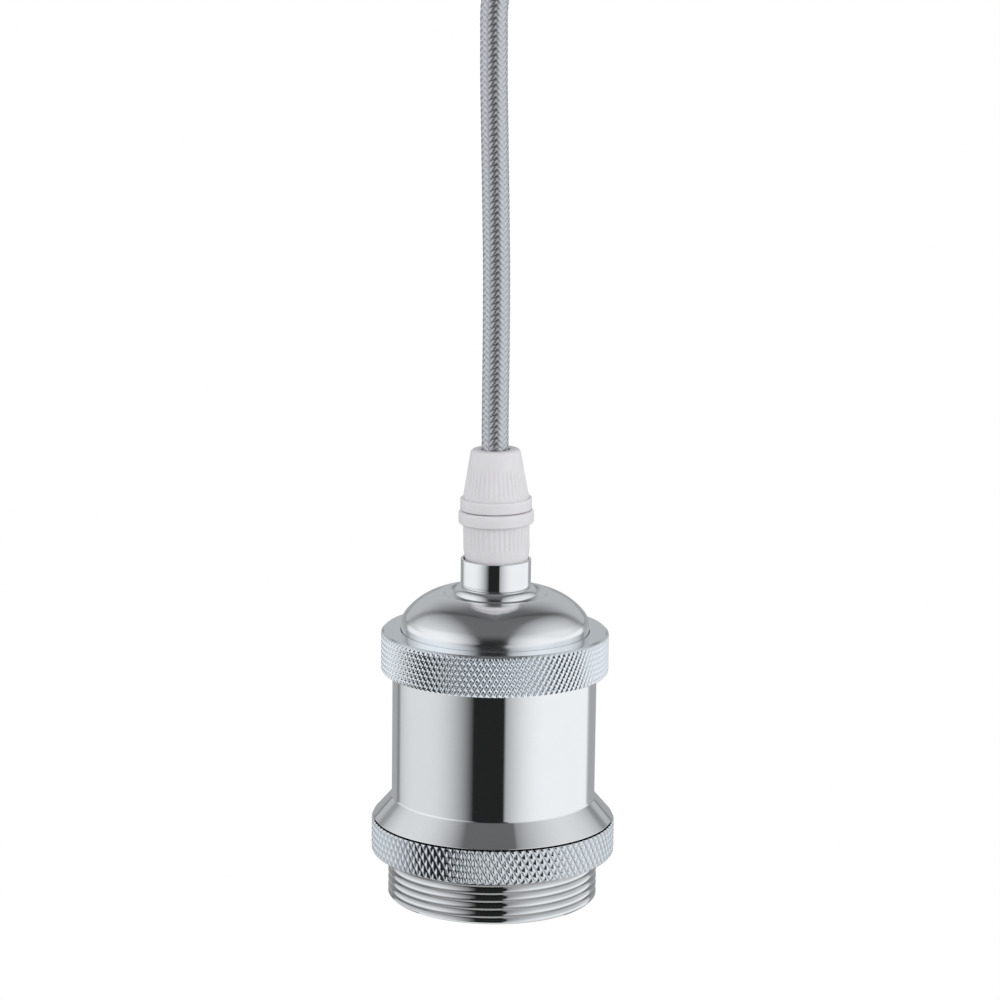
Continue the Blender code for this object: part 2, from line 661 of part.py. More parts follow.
def build_contacts(holder):
    """The sprung centre tongue and the two screws that fix it and the shell to the terminals."""
    top = CERAMIC_DECK_UNDERSIDE - SEAT_GAP - CONTACT_THICKNESS / 2
    outer_end = LIVE_CONTACT_SCREW + 0.0023
    path = [
        (outer_end, top),
        (LIVE_CONTACT_SCREW - 0.0030, top),
        (0.0012, top - CONTACT_TIP_DROP * 0.35),
        (-0.0010, top - CONTACT_TIP_DROP * 0.9),
        (-0.0024, top - CONTACT_TIP_DROP),
        (-0.0038, top - CONTACT_TIP_DROP * 0.75),
    ]
    turned_frame = add_empty("contact_frame", (0.0, 0.0, 0.0), (0.0, 0.0, math.radians(90)), holder)
    contact = strip("centre_contact", path, CONTACT_THICKNESS, CONTACT_WIDTH, BRASS, turned_frame)
    drill(contact, SMALL_SCREW_SHANK + THREAD_GAP, 0.003, (LIVE_CONTACT_SCREW, 0.0, top), (0, 0, 1))
    head_seat = CERAMIC_DECK_UNDERSIDE - SEAT_GAP * 2 - CONTACT_THICKNESS
    reach = POCKET_FLOOR + SEAT_GAP + TERMINAL_SIZE.z * 0.35 - head_seat
    mesh = screw_mesh("contact_screw", SMALL_SCREW_HEAD, SMALL_SCREW_HEAD_HEIGHT, SMALL_SCREW_SHANK,
                      reach, BRASS)
    place_screw("live_contact_screw", mesh, (0.0, LIVE_CONTACT_SCREW, head_seat), (0, 0, -1), holder)
    place_screw("neutral_contact_screw", mesh, (0.0, NEUTRAL_CONTACT_SCREW, head_seat), (0, 0, -1), holder)


def build_terminals(holder):
    """Brass terminals in the ceramic's pockets, each with a side clamp screw."""
    wire_height = TERMINAL_TOP - WIRE_DEPTH * 0.6
    clamp_mesh = screw_mesh("terminal_clamp_screw", SMALL_SCREW_HEAD * 0.8, SMALL_SCREW_HEAD_HEIGHT * 0.8,
                            SMALL_SCREW_SHANK * 0.8, TERMINAL_SIZE.x / 2 - CORE_RADIUS, ZINC_STEEL)
    layout = {
        "live": (LIVE_SIDE, LIVE_CONTACT_SCREW, LIVE_WIRE),
        "neutral": (NEUTRAL_SIDE, NEUTRAL_CONTACT_SCREW, NEUTRAL_WIRE),
    }
    for name, (side, contact_screw, wire_place) in layout.items():
        centre = (0.0, side, TERMINAL_TOP - TERMINAL_SIZE.z / 2)
        terminal = block(name + "_terminal", TERMINAL_SIZE, centre, BRASS, holder)
        bottom = TERMINAL_TOP - TERMINAL_SIZE.z
        drill(terminal, SMALL_SCREW_SHANK + THREAD_GAP, TERMINAL_SIZE.z * 0.8,
              (0.0, contact_screw, bottom), (0, 0, 1))
        drill(terminal, WIRE_BORE_RADIUS, WIRE_DEPTH * 2, (0.0, wire_place, TERMINAL_TOP), (0, 0, 1))
        drill(terminal, SMALL_SCREW_SHANK * 0.8 + THREAD_GAP, TERMINAL_SIZE.x,
              (TERMINAL_SIZE.x / 2, wire_place, wire_height), (1, 0, 0))
        place_screw(name + "_terminal_screw", clamp_mesh,
                    (TERMINAL_SIZE.x / 2 + SEAT_GAP, wire_place, wire_height), (1, 0, 0), holder)


def build_bridge(holder):
    """A bent steel bridge under the dome, its feet on the ceramic, with the earth tag."""
    top = BRIDGE_TOP - BRIDGE_THICKNESS / 2
    foot = BRIDGE_FOOT + BRIDGE_THICKNESS / 2
    leg = BRIDGE_HALF_SPAN - BRIDGE_THICKNESS / 2
    path = [
        (-leg - BRIDGE_FOOT_REACH, foot),
        (-leg, foot),
        (-leg, top),
        (leg, top),
        (leg, foot),
        (leg + BRIDGE_FOOT_REACH, foot),
    ]
    bridge = strip("holder_bridge", path, BRIDGE_THICKNESS, BRIDGE_WIDTH, ZINC_STEEL, holder)
    disc = rod("bridge_disc", BRIDGE_DISC_RADIUS, BRIDGE_THICKNESS, (0.0, 0.0, top), (0, 0, 1), MEDIUM,
               None, holder, CUTTERS)
    boolean(bridge, disc, "UNION")
    drill(bridge, SPIGOT_RADIUS + SEAT_GAP, 0.004, (0.0, 0.0, top), (0, 0, 1), MEDIUM)
    for sign in (1, -1):
        drill(bridge, SMALL_SCREW_SHANK + THREAD_GAP, 0.004, (sign * BRIDGE_SCREW_OFFSET, 0.0, foot),
              (0, 0, 1))
    earth_height = BRIDGE_UNDERSIDE - EARTH_SCREW_DROP
    drill(bridge, SMALL_SCREW_SHANK + THREAD_GAP, 0.004, (-leg, 0.0, earth_height), (1, 0, 0))
    head_seat = BRIDGE_FOOT + BRIDGE_THICKNESS + SEAT_GAP
    mesh = screw_mesh("bridge_screw", SMALL_SCREW_HEAD, SMALL_SCREW_HEAD_HEIGHT, SMALL_SCREW_SHANK,
                      0.0055, ZINC_STEEL)
    for index, sign in enumerate((1, -1), start=1):
        place_screw(f"bridge_screw_{index}", mesh, (sign * BRIDGE_SCREW_OFFSET, 0.0, head_seat),
                    (0, 0, 1), holder)
    return earth_height


def build_earth_tag(holder, earth_height):
    """A crimped tag on the bridge's leg, its barrel below the screw, and that screw."""
    face = -BRIDGE_HALF_SPAN + BRIDGE_THICKNESS + SEAT_GAP
    barrel_radius = WIRE_BORE_RADIUS + 0.00035
    barrel_length = 0.0016
    plate_height = TAG_WIDTH + 0.0002
    plate_centre = (face + TAG_THICKNESS / 2, 0.0, earth_height + TAG_WIDTH / 2 - plate_height / 2)
    tag = block("earth_tag", (TAG_THICKNESS, TAG_WIDTH, plate_height), plate_centre, BRASS, holder)
    barrel_x = face + barrel_radius
    barrel_z = plate_centre[2] - plate_height / 2
    barrel = rod("earth_tag_barrel", barrel_radius, barrel_length, (barrel_x, 0.0, barrel_z), (0, 0, 1),
                 COARSE, None, holder, CUTTERS)
    boolean(tag, barrel, "UNION")
    drill(tag, WIRE_BORE_RADIUS, barrel_length * 0.8, (barrel_x, 0.0, barrel_z - barrel_length / 2),
          (0, 0, 1))
    drill(tag, SMALL_SCREW_SHANK + THREAD_GAP, 0.004, (face, 0.0, earth_height), (1, 0, 0))
    mesh = screw_mesh("earth_screw", EARTH_SCREW_HEAD, SMALL_SCREW_HEAD_HEIGHT, SMALL_SCREW_SHANK,
                      TAG_THICKNESS + BRIDGE_THICKNESS + SEAT_GAP * 2 + 0.0012, BRASS)
    head_seat = (face + TAG_THICKNESS + SEAT_GAP, 0.0, earth_height)
    place_screw("earth_screw", mesh, head_seat, (1, 0, 0), holder)
    return Vector((barrel_x, 0.0, barrel_z - barrel_length / 2))


def build_lower_cores(holder, earth_barrel):
    """The three cores from the flex's cut end to their terminals."""
    start = FLEX_LOWER_END - SEAT_GAP
    spread = CORE_SPREAD
    for name, place in (("live", LIVE_WIRE), ("neutral", NEUTRAL_WIRE)):
        side = math.copysign(1.0, place)
        knots = [
            (0.0, side * spread, start),
            (0.0, side * spread * 1.1, start - 0.0020),
            (0.0, place * 0.55, start - 0.0048),
            (0.0, place * 0.93, TERMINAL_TOP + 0.0022),
            (0.0, place, TERMINAL_TOP + 0.0004),
            (0.0, place, TERMINAL_TOP - WIRE_DEPTH + SEAT_GAP),
        ]
        wire("core_" + name, smooth_route(knots, 2), CORE_RADIUS, CORE_COLOURS[name], holder)
    low = CERAMIC_TOP + CORE_RADIUS + SEAT_GAP
    x = earth_barrel.x
    knots = [
        (-spread, 0.0, start),
        (-spread * 1.1, 0.0, start - 0.0030),
        (x * 0.35, 0.0, low + 0.0011),
        (x * 0.65, 0.0, low),
        (x * 0.94, 0.0, low + 0.0006),
        (x, 0.0, earth_barrel.z - 0.0002),
        (x, 0.0, earth_barrel.z + 0.0006),
    ]
    wire("core_earth", smooth_route(knots, 2), CORE_RADIUS, CORE_COLOURS["earth"], holder)


# Flex

def build_flex(holder):
    """The braided flex, cut back inside both ends. Offsets follow its slight bow."""
    knots = [
        (0.0000, 0.0, FLEX_LOWER_END),
        (0.0000, 0.0, 0.0610),
        (0.0000, 0.0, 0.0730),
        (-0.0004, 0.0, 0.0860),
        (-0.00045, 0.0, 0.0972),
        (-0.00045, 0.0, 0.1083),
        (-0.00055, 0.0, 0.1195),
        (-0.0008, 0.0, 0.1307),
        (-0.0011, 0.0, 0.1419),
        (-0.0014, 0.0, 0.1531),
        (-0.0015, 0.0, 0.1610),
        (-0.0013, 0.0, FLEX_REACH - 0.0055),
        (-0.0004, 0.0, FLEX_REACH - 0.0005),
        (-0.0001, 0.0, FLEX_REACH + 0.0080),
        (0.0000, 0.0, FLEX_REACH + 0.0180),
        (0.0000, 0.0, FLEX_UPPER_END),
    ]
    wire("flex_cord", smooth_route(knots, 1), FLEX_RADIUS, BRAID, holder)


# Ceiling rose

def build_rose_cover(rose):
    inner = ROSE_RADIUS - ROSE_WALL
    hole = GRIP_STEM_RADIUS + SEAT_GAP
    corner_centre = (ROSE_RADIUS - ROSE_CORNER, -ROSE_HEIGHT + ROSE_CORNER)
    inner_corner = ROSE_CORNER - ROSE_WALL
    profile = [(inner, 0.0), (ROSE_RADIUS, 0.0)]
    profile += arc(corner_centre, (ROSE_CORNER, ROSE_CORNER), 0, -90, 4)
    profile += [(hole, -ROSE_HEIGHT), (hole, -ROSE_HEIGHT + ROSE_WALL)]
    profile += arc(corner_centre, (inner_corner, inner_corner), -90, 0, 3)
    cover = turned("rose_cover", profile, FINE, CHROME, rose)
    for sign in (1, -1):
        drill(cover, SIDE_SCREW_SHANK + SEAT_GAP, 0.006, (sign * ROSE_RADIUS, 0.0, -SIDE_SCREW_DROP),
              (1, 0, 0))
    return cover


def build_rose_bracket(rose):
    """A strap on the ceiling whose turned-down tabs take the cover's side screws."""
    top = -BRACKET_THICKNESS / 2
    tab = BRACKET_HALF_LENGTH - BRACKET_THICKNESS / 2
    path = [(-tab, -BRACKET_TAB_HEIGHT), (-tab, top), (tab, top), (tab, -BRACKET_TAB_HEIGHT)]
    bracket = strip("rose_bracket", path, BRACKET_THICKNESS, BRACKET_WIDTH, ZINC_STEEL, rose)
    for sign in (1, -1):
        drill(bracket, BRACKET_CEILING_HOLE, 0.006, (sign * BRACKET_CEILING_HOLE_OFFSET, 0.0, top),
              (0, 0, 1))
        drill(bracket, SIDE_SCREW_SHANK + SEAT_GAP, 0.006, (sign * tab, 0.0, -SIDE_SCREW_DROP),
              (1, 0, 0))
        drill(bracket, SMALL_SCREW_SHANK + THREAD_GAP, 0.006, (sign * BLOCK_POLE_PITCH / 2, 0.0, top),
              (0, 0, 1))
    reach = ROSE_RADIUS + SEAT_GAP - tab + BRACKET_THICKNESS
    mesh = screw_mesh("rose_side_screw", SIDE_SCREW_HEAD, SIDE_SCREW_HEAD_HEIGHT, SIDE_SCREW_SHANK,
                      reach, CHROME)
    for index, sign in enumerate((1, -1), start=1):
        place_screw(f"rose_side_screw_{index}", mesh,
                    (sign * (ROSE_RADIUS + SEAT_GAP), 0.0, -SIDE_SCREW_DROP), (sign, 0, 0), rose)
    return bracket


def build_terminal_block(rose):
    """A three-pole block under the strap, its barrels along Y and its screws facing down."""
    top = -BRACKET_THICKNESS - SEAT_GAP
    bottom = top - BLOCK_SIZE.z
    axis_height = (top + bottom) / 2
    housing = block("terminal_block", BLOCK_SIZE, (0.0, 0.0, axis_height), NYLON, rose)
    clamp_hole = BLOCK_CLAMP_RADIUS + THREAD_GAP
    clamp_tip = axis_height - BLOCK_BARREL_BORE + SEAT_GAP
    clamp_middle = clamp_tip - BLOCK_CLAMP_LENGTH / 2
    for pole in range(3):
        x = (pole - 1) * BLOCK_POLE_PITCH
        drill(housing, BLOCK_BARREL_RADIUS + SEAT_GAP, BLOCK_SIZE.y * 2, (x, 0.0, axis_height), (0, 1, 0))
        barrel = rod(f"block_barrel_{pole + 1}", BLOCK_BARREL_RADIUS, BLOCK_BARREL_LENGTH,
                     (x, 0.0, axis_height), (0, 1, 0), COARSE, BRASS, rose)
        drill(barrel, BLOCK_BARREL_BORE, BLOCK_BARREL_LENGTH * 2, (x, 0.0, axis_height), (0, 1, 0))
        for end, sign in enumerate((-1, 1), start=1):
            y = sign * BLOCK_CLAMP_OFFSET
            drill(housing, clamp_hole + SEAT_GAP, BLOCK_SIZE.z / 2 + 0.001,
                  (x, y, bottom + BLOCK_SIZE.z / 4 - 0.0005), (0, 0, 1))
            drill(barrel, clamp_hole, BLOCK_BARREL_RADIUS, (x, y, axis_height - BLOCK_BARREL_RADIUS),
                  (0, 0, 1))
            rod(f"block_clamp_screw_{pole * 2 + end}", BLOCK_CLAMP_RADIUS, BLOCK_CLAMP_LENGTH,
                (x, y, clamp_middle), (0, 0, 1), SCREW_FACETS, ZINC_STEEL, rose)
    mesh = screw_mesh("block_fixing_screw", SMALL_SCREW_HEAD * 0.9, SMALL_SCREW_HEAD_HEIGHT,
                      SMALL_SCREW_SHANK, BLOCK_SIZE.z + SEAT_GAP * 2 + BRACKET_THICKNESS * 0.7, ZINC_STEEL)
    for index, sign in enumerate((1, -1), start=1):
        x = sign * BLOCK_POLE_PITCH / 2
        drill(housing, SMALL_SCREW_SHANK + SEAT_GAP, BLOCK_SIZE.z * 2, (x, 0.0, axis_height), (0, 0, 1))
        place_screw(f"block_fixing_screw_{index}", mesh, (x, 0.0, bottom - SEAT_GAP), (0, 0, -1), rose)
    return axis_height


def build_upper_cores(rose, axis_height):
    """The three cores from the flex's top end round to the block's near side."""
    start = FLEX_UPPER_END - CEILING_HEIGHT + SEAT_GAP
    room = axis_height - BLOCK_SIZE.z / 2 - start
    spread = CORE_SPREAD
    for pole, name in enumerate(("live", "earth", "neutral")):
        x = (pole - 1) * BLOCK_POLE_PITCH
        near = -BLOCK_SIZE.y / 2
        side = (pole - 1) * spread
        depth = spread * (abs(pole - 1) * 0.9 - 0.8)
        knots = [
            (side, depth, start),
            (side * 1.3, depth - spread * 0.4, start + room * 5 / 18),
            (x * 0.45, near * 0.65, start + room * 5 / 9),
            (x * 0.85, near - 0.0030, start + room * 26 / 27),
            (x, near - 0.0042, axis_height - 0.0012),
            (x, near - 0.0028, axis_height),
            (x, near + 0.0010, axis_height),
            (x, near + 0.0030, axis_height),
        ]
        wire("rose_core_" + name, smooth_route(knots, 2), CORE_RADIUS, CORE_COLOURS[name], rose)


def build():
    rose = add_empty("rose", (0.0, 0.0, 0.0))
    holder = add_empty("holder", (0.0, 0.0, -CEILING_HEIGHT))
    build_sleeve(holder)
    build_shade_ring(holder)
    build_clamp_ring(holder)
    build_dome(holder)
    build_neck(holder)
    pivot = add_empty("grip_pivot", (0.0, 0.0, GRIP_SEAT + GRIP_TILT_PIVOT), (0.0, GRIP_TILT, 0.0), holder)
    build_cord_grip("", add_empty("grip_seat", (0.0, 0.0, -GRIP_TILT_PIVOT), parent=pivot))
    build_ceramic(holder)
    build_screw_shell(holder)
    build_contacts(holder)
    build_terminals(holder)
    earth_height = build_bridge(holder)
    build_lower_cores(holder, build_earth_tag(holder, earth_height))
    build_flex(holder)
    build_rose_cover(rose)
    build_rose_bracket(rose)
    rose_seat = add_empty("rose_grip_seat", (0.0, 0.0, -ROSE_HEIGHT), (math.radians(180), 0.0, 0.0), rose)
    build_cord_grip("rose_", rose_seat)
    nut_foot = -ROSE_HEIGHT + ROSE_WALL + SEAT_GAP
    hex_nut("rose_grip_locknut", GRIP_STEM_RADIUS + SEAT_GAP, nut_foot, rose)
    build_upper_cores(rose, build_terminal_block(rose))


build()
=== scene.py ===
"""Looks of a pendant lamp holder on its braided flex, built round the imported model.

Metres, +Z up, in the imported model's frame: the origin is the middle of the
ceiling rose's flat face. Shapes of the holder are given in the holder's own
frame, whose zero height is the bottom edge of its outer thread.
"""
import json
import math

import bpy
import numpy as np
from mathutils import Matrix, Vector

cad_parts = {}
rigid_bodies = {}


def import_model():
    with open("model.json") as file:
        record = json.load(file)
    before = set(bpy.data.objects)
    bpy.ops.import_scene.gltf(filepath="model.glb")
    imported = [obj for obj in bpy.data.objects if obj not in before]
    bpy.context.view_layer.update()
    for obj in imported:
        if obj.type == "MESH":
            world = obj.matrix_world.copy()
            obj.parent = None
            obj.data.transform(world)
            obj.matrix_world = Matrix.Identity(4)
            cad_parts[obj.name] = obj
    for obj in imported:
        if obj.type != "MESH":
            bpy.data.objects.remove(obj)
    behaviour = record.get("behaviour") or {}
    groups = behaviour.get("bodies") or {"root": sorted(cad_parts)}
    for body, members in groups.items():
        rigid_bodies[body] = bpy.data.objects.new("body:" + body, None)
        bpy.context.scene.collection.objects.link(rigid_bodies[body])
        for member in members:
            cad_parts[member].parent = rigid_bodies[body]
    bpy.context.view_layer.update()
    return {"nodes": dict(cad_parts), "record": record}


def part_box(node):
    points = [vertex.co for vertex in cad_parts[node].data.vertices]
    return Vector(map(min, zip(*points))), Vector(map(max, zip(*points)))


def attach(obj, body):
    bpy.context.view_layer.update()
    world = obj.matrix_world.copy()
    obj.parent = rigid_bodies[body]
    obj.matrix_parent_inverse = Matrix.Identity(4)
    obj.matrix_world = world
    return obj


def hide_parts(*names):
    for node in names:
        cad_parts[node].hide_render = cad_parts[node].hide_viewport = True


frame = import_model()
SCENE = bpy.context.scene
NODES = frame["nodes"]
HOLDER_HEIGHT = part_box("body_sleeve")[0].z
HOLDER = Matrix.Translation((0.0, 0.0, HOLDER_HEIGHT))
ROSE_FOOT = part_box("rose_cover")[0].z

# Clearances and small roundings; an extra row near each end of a long straight wall
# keeps the wall's shading flat up to there
SEAT_GAP = 0.0003
SOFT_EDGE = 0.00012
WALL_ROW = 0.0007
ON_FACE = 0.00001

# Sleeve, flare and outer thread
SLEEVE_RADIUS = 0.01925
SLEEVE_BORE = 0.0176
SLEEVE_HEIGHT = 0.04825
THREAD_CREST = 0.01985
THREAD_DEPTH = 0.00015
THREAD_PITCH = 0.0015
THREAD_LENGTH = 0.0154
THREAD_FOOT = 0.0004
THREAD_TOP = THREAD_LENGTH - 0.0002
THREAD_FADE = 0.0006
THREAD_LEAD_IN = 0.0004
THREAD_POWER = 1.2
THREAD_ROWS = 126
FLARE_RADIUS = 0.02275
FLARE_CREASE = 0.0195
FLARE_EDGE = 0.0002
FLARE_CREASE_ROUND = 0.0005
FLARE_RIM_ROUND = 0.00016
FLARE_FOOT_ROUND = 0.00010
LEDGE_BORE = 0.0157
LEDGE_FOOT = 0.0030
LEDGE_TOP = 0.0045

# Painted shade on the thread, 0 to 1, darkening its colour: down its grooves, on the flanks that face down,
# and just under the shade ring, over a reach that fades in
GROOVE_PAINTED_SHADE = 0.50
GROOVE_PAINTED_SHADE_POWER = 0.8
FLANK_PAINTED_SHADE = 0.80
UNDER_RING_PAINTED_SHADE = 0.35
UNDER_RING_REACH = 0.0014
UNDER_RING_FADE = 0.0007

# Knurled rings: the chamfers of their top and foot edges, the knurl's cells round the ring,
# a cell's height and the depths of its rising and falling grooves, then the groove's share of
# a cell, the dish in each diamond and how much painted shade darkens the grooves
SHADE_RING = {"radius": 0.0231, "foot": 0.0088, "top": 0.0151,
              "top_edge": 0.0002, "foot_edge": 0.00025, "edge_width": 0.0007,
              "cells": 99, "cell_height": 0.00242, "rising": 0.00028, "falling": 0.00038,
              "groove": 0.42, "dish": 0.00004, "painted_shade": 0.60}
CLAMP_RING = {"radius": 0.0215, "foot": 0.04385, "top": 0.05155,
              "top_edge": 0.0006, "foot_edge": 0.00025, "edge_width": 0.0006,
              "cells": 117, "cell_height": 0.0020, "rising": 0.00034, "falling": 0.00026,
              "groove": 0.30, "dish": 0.00008, "painted_shade": 0.0}
KNURL_PAINTED_SHADE_POWER = 1.5
SHADE_RING_BORE = 0.02015
CLAMP_RING_BORE = 0.01955
CLAMP_LIP_BORE = 0.01778
CLAMP_LIP_FOOT = 0.05015
CELL_STEPS = 10
DISH_WIDTH = 0.34

# Dome cap and neck
DOME_FOOT_RADIUS = 0.0177
DOME_WALL = 0.0014
DOME_FLANGE_RADIUS = 0.0191
DOME_FLANGE_FOOT = 0.04855
DOME_FLANGE_TOP = 0.04985
KNUCKLE_RADIUS = 0.0033
KNUCKLE_CENTRE = (0.0144, 0.05255)
CROWN_RADIUS = 0.0121
CROWN_CENTRE = (0.0075, 0.047088)
CROWN_ANGLE = 38.36
CROWN_TOP_ANGLE = 76.5
GROOVE = [(0.00805, 0.0584), (0.00812, 0.05800), (0.00840, 0.05782), (0.00880, 0.05796), (0.00930, 0.05838),
          (0.00970, 0.05868), (0.01005, 0.05882)]
DOME_HOLE = 0.0062
BEAD_RADIUS = 0.00805
BEAD_ROUND = (0.00145, 0.0016)
BEAD_TOP = 0.059988
NECK_RADIUS = 0.0066
NECK_FOOT = 0.06001
NECK_TOP = 0.065288
NECK_TOP_ROUND = 0.00016
NECK_FOOT_ROUND = 0.00010
NECK_MOUTH = 0.0061
NECK_BORE = 0.0049
SPIGOT_RADIUS = 0.0059
SPIGOT_FOOT = 0.052188

# Nylon grip, measured from its seat
GRIP_SEAT = 0.062888
GRIP_TILT = math.radians(-1.2)
GRIP_TILT_PIVOT = 0.0080
GRIP_BORE = 0.0031
GRIP_STEM_RADIUS = 0.00455
GRIP_STEM_LENGTH = 0.0055
GRIP_FOOT_RADIUS = 0.0058
GRIP_FOOT_SHARE = 0.3
GRIP_WAIST_RADIUS = 0.0062
GRIP_WAIST_SHARE = 0.45
GRIP_COLLET_RADIUS = 0.0042
GRIP_COLLET_LENGTH = 0.0055
GRIP_COLLAR_RADIUS = 0.00705
GRIP_COLLAR_ROUND = 0.0006
GRIP_COLLAR_FOOT = 0.0092
GRIP_COLLAR_TOP = 0.0117
GRIP_NUT_FOOT = 0.01184
GRIP_BAND_RADIUS = 0.0067
GRIP_BAND_TOP = 0.0140
GRIP_CONE_FOOT_RADIUS = 0.0062
GRIP_TIP_RADIUS = 0.00457
GRIP_TIP_ROUND = 0.0007
GRIP_TIP_BORE = 0.00262
GRIP_TIP_BORE_ROUND = 0.00015
GRIP_TIP_WALL = 0.0012
GRIP_EDGE_ROUND = 0.0002
GRIP_CAVITY_RADIUS = 0.00455
GRIP_CAVITY_TOP = 0.0175
GRIP_TOP = 0.0232
GRIP_RIBS = 40
GRIP_RIB_DEPTH = 0.00013
GRIP_RIB_SEGMENTS = GRIP_RIBS * 8

# Flex and its braid; it leaves the grip where the collet inside the cone lets go of it.
# The knots are the flex's centreline from its cut end in the holder to that in the rose.
FLEX_KNOTS = [
    (0.0000, 0.0, 0.0512),
    (0.0000, 0.0, 0.0610),
    (0.0000, 0.0, 0.0730),
    (-0.0004, 0.0, 0.0860),
    (-0.00045, 0.0, 0.0972),
    (-0.00045, 0.0, 0.1083),
    (-0.00055, 0.0, 0.1195),
    (-0.0008, 0.0, 0.1307),
    (-0.0011, 0.0, 0.1419),
    (-0.0014, 0.0, 0.1531),
    (-0.0015, 0.0, 0.1610),
    (-0.0015, 0.0, 0.1675),
    (-0.00075, 0.0, 0.1722),
    (-0.0001, 0.0, 0.1801),
    (0.0000, 0.0, 0.1901),
    (0.0000, 0.0, 0.2018),
]
FLEX_RADIUS = 0.0025
BRAID_STRANDS = 12
BRAID_PITCH = 0.0011
BRAID_SAMPLES = 8
BRAID_STANDOUT = 0.00004
BRAID_OVERLAP = 0.003
BRAID_HIDDEN_STEP = 4
STRAND_HEIGHT = 0.00013
STRAND_LIFT = 0.00007

# Ceiling rose
ROSE_WALL = 0.0012
ROSE_CORNER = 0.0060
ROSE_RIM_ROW = 0.004
ROSE_HOLE = 0.00485

# Camera, fitted to the ellipses of the rings
CAMERA_PLACE = Vector((0.00062, -0.57772, 0.19346 + HOLDER_HEIGHT))
CAMERA_PITCH = math.radians(11.459)
CAMERA_ROLL = math.radians(0.722)
CAMERA_LENS = 113.68

# Stage; the lamps point at a height above the holder's foot
FLOOR_DROP = 0.55
FLOOR_RADIUS = 0.60
FLOOR_SIDES = 96
FLOOR_GLOW = 0.85
LAMP_AIM = 0.06

# Sides of a turned piece
FINE = 256


# Camera

def add_camera():
    data = bpy.data.cameras.new("camera")
    data.lens = CAMERA_LENS
    data.clip_start = 0.01
    data.clip_end = 50.0
    camera = bpy.data.objects.new("camera", data)
    SCENE.collection.objects.link(camera)
    forward = Vector((0.0, math.cos(CAMERA_PITCH), -math.sin(CAMERA_PITCH)))
    right = Vector((1.0, 0.0, 0.0))
    up = right.cross(forward)
    rolled_right = right * math.cos(CAMERA_ROLL) + up * math.sin(CAMERA_ROLL)
    rolled_up = up * math.cos(CAMERA_ROLL) - right * math.sin(CAMERA_ROLL)
    axes = Matrix((rolled_right, rolled_up, -forward)).transposed()
    camera.matrix_world = Matrix.Translation(CAMERA_PLACE) @ axes.to_4x4()
    SCENE.camera = camera


# Shader graphs

class Value:
    """A number or colour in a shader graph; sums and products of it add nodes."""

    def __init__(self, tree, socket):
        self.tree = tree
        self.socket = socket

    def math(self, operation, *others):
        node = self.tree.nodes.new("ShaderNodeMath")
        node.operation = operation
        for slot, item in zip(node.inputs, (self, *others)):
            if isinstance(item, Value):
                self.tree.links.new(item.socket, slot)
            else:
                slot.default_value = item
        return Value(self.tree, node.outputs[0])

    def __add__(self, other):
        return self.math("ADD", other)

    def __sub__(self, other):
        return self.math("SUBTRACT", other)

    def __mul__(self, other):
        return self.math("MULTIPLY", other)

    def step(self, low, high, start=0.0, end=1.0):
        """A smooth step from start, at low, to end, at high."""
        node = self.tree.nodes.new("ShaderNodeMapRange")
        node.interpolation_type = "SMOOTHSTEP"
        feed(self.tree, self, node.inputs["Value"])
        feed(self.tree, low, node.inputs["From Min"])
        feed(self.tree, high, node.inputs["From Max"])
        feed(self.tree, start, node.inputs["To Min"])
        feed(self.tree, end, node.inputs["To Max"])
        return Value(self.tree, node.outputs["Result"])


def feed(tree, item, slot):
    if isinstance(item, Value):
        tree.links.new(item.socket, slot)
    else:
        slot.default_value = item


def add_node(tree, kind, settings=None, **inputs):
    node = tree.nodes.new(kind)
    for name, item in (settings or {}).items():
        setattr(node, name, item)
    for name, item in inputs.items():
        feed(tree, item, node.inputs[name.replace("_", " ")])
    return node


def mixed(tree, share, first, second):
    """A colour between two, by share."""
    node = tree.nodes.new("ShaderNodeMix")
    node.data_type = "RGBA"
    feed(tree, share, node.inputs["Factor"])
    feed(tree, first, node.inputs[6])
    feed(tree, second, node.inputs[7])
    return Value(tree, node.outputs[2])


def grey(level, tint=(1.0, 1.0, 1.0)):
    return tuple(level * part for part in tint) + (1.0,)


def noise(tree, scale, stretch=(1.0, 1.0, 1.0), detail=3.0):
    """Noise over the piece, in cells per metre, stretched along the axes."""
    place = add_node(tree, "ShaderNodeTexCoord")
    mapping = add_node(tree, "ShaderNodeMapping")
    mapping.inputs["Scale"].default_value = stretch
    tree.links.new(place.outputs["Object"], mapping.inputs["Vector"])
    texture = add_node(tree, "ShaderNodeTexNoise", Scale=scale, Detail=detail)
    tree.links.new(mapping.outputs["Vector"], texture.inputs["Vector"])
    return Value(tree, texture.outputs["Fac"])


def material(name, roughness, metallic, **constants):
    """A Principled material; constants go on the shader's own sockets."""
    made = bpy.data.materials.new(name)
    made.use_nodes = True
    shader = made.node_tree.nodes["Principled BSDF"]
    shader.inputs["Roughness"].default_value = roughness
    shader.inputs["Metallic"].default_value = metallic
    for key, item in constants.items():
        shader.inputs[key.replace("_", " ")].default_value = item
    return made, made.node_tree, shader


def bump(tree, shader, height, strength, distance):
    node = add_node(tree, "ShaderNodeBump", Strength=strength, Distance=distance)
    feed(tree, height, node.inputs["Height"])
    tree.links.new(node.outputs["Normal"], shader.inputs["Normal"])


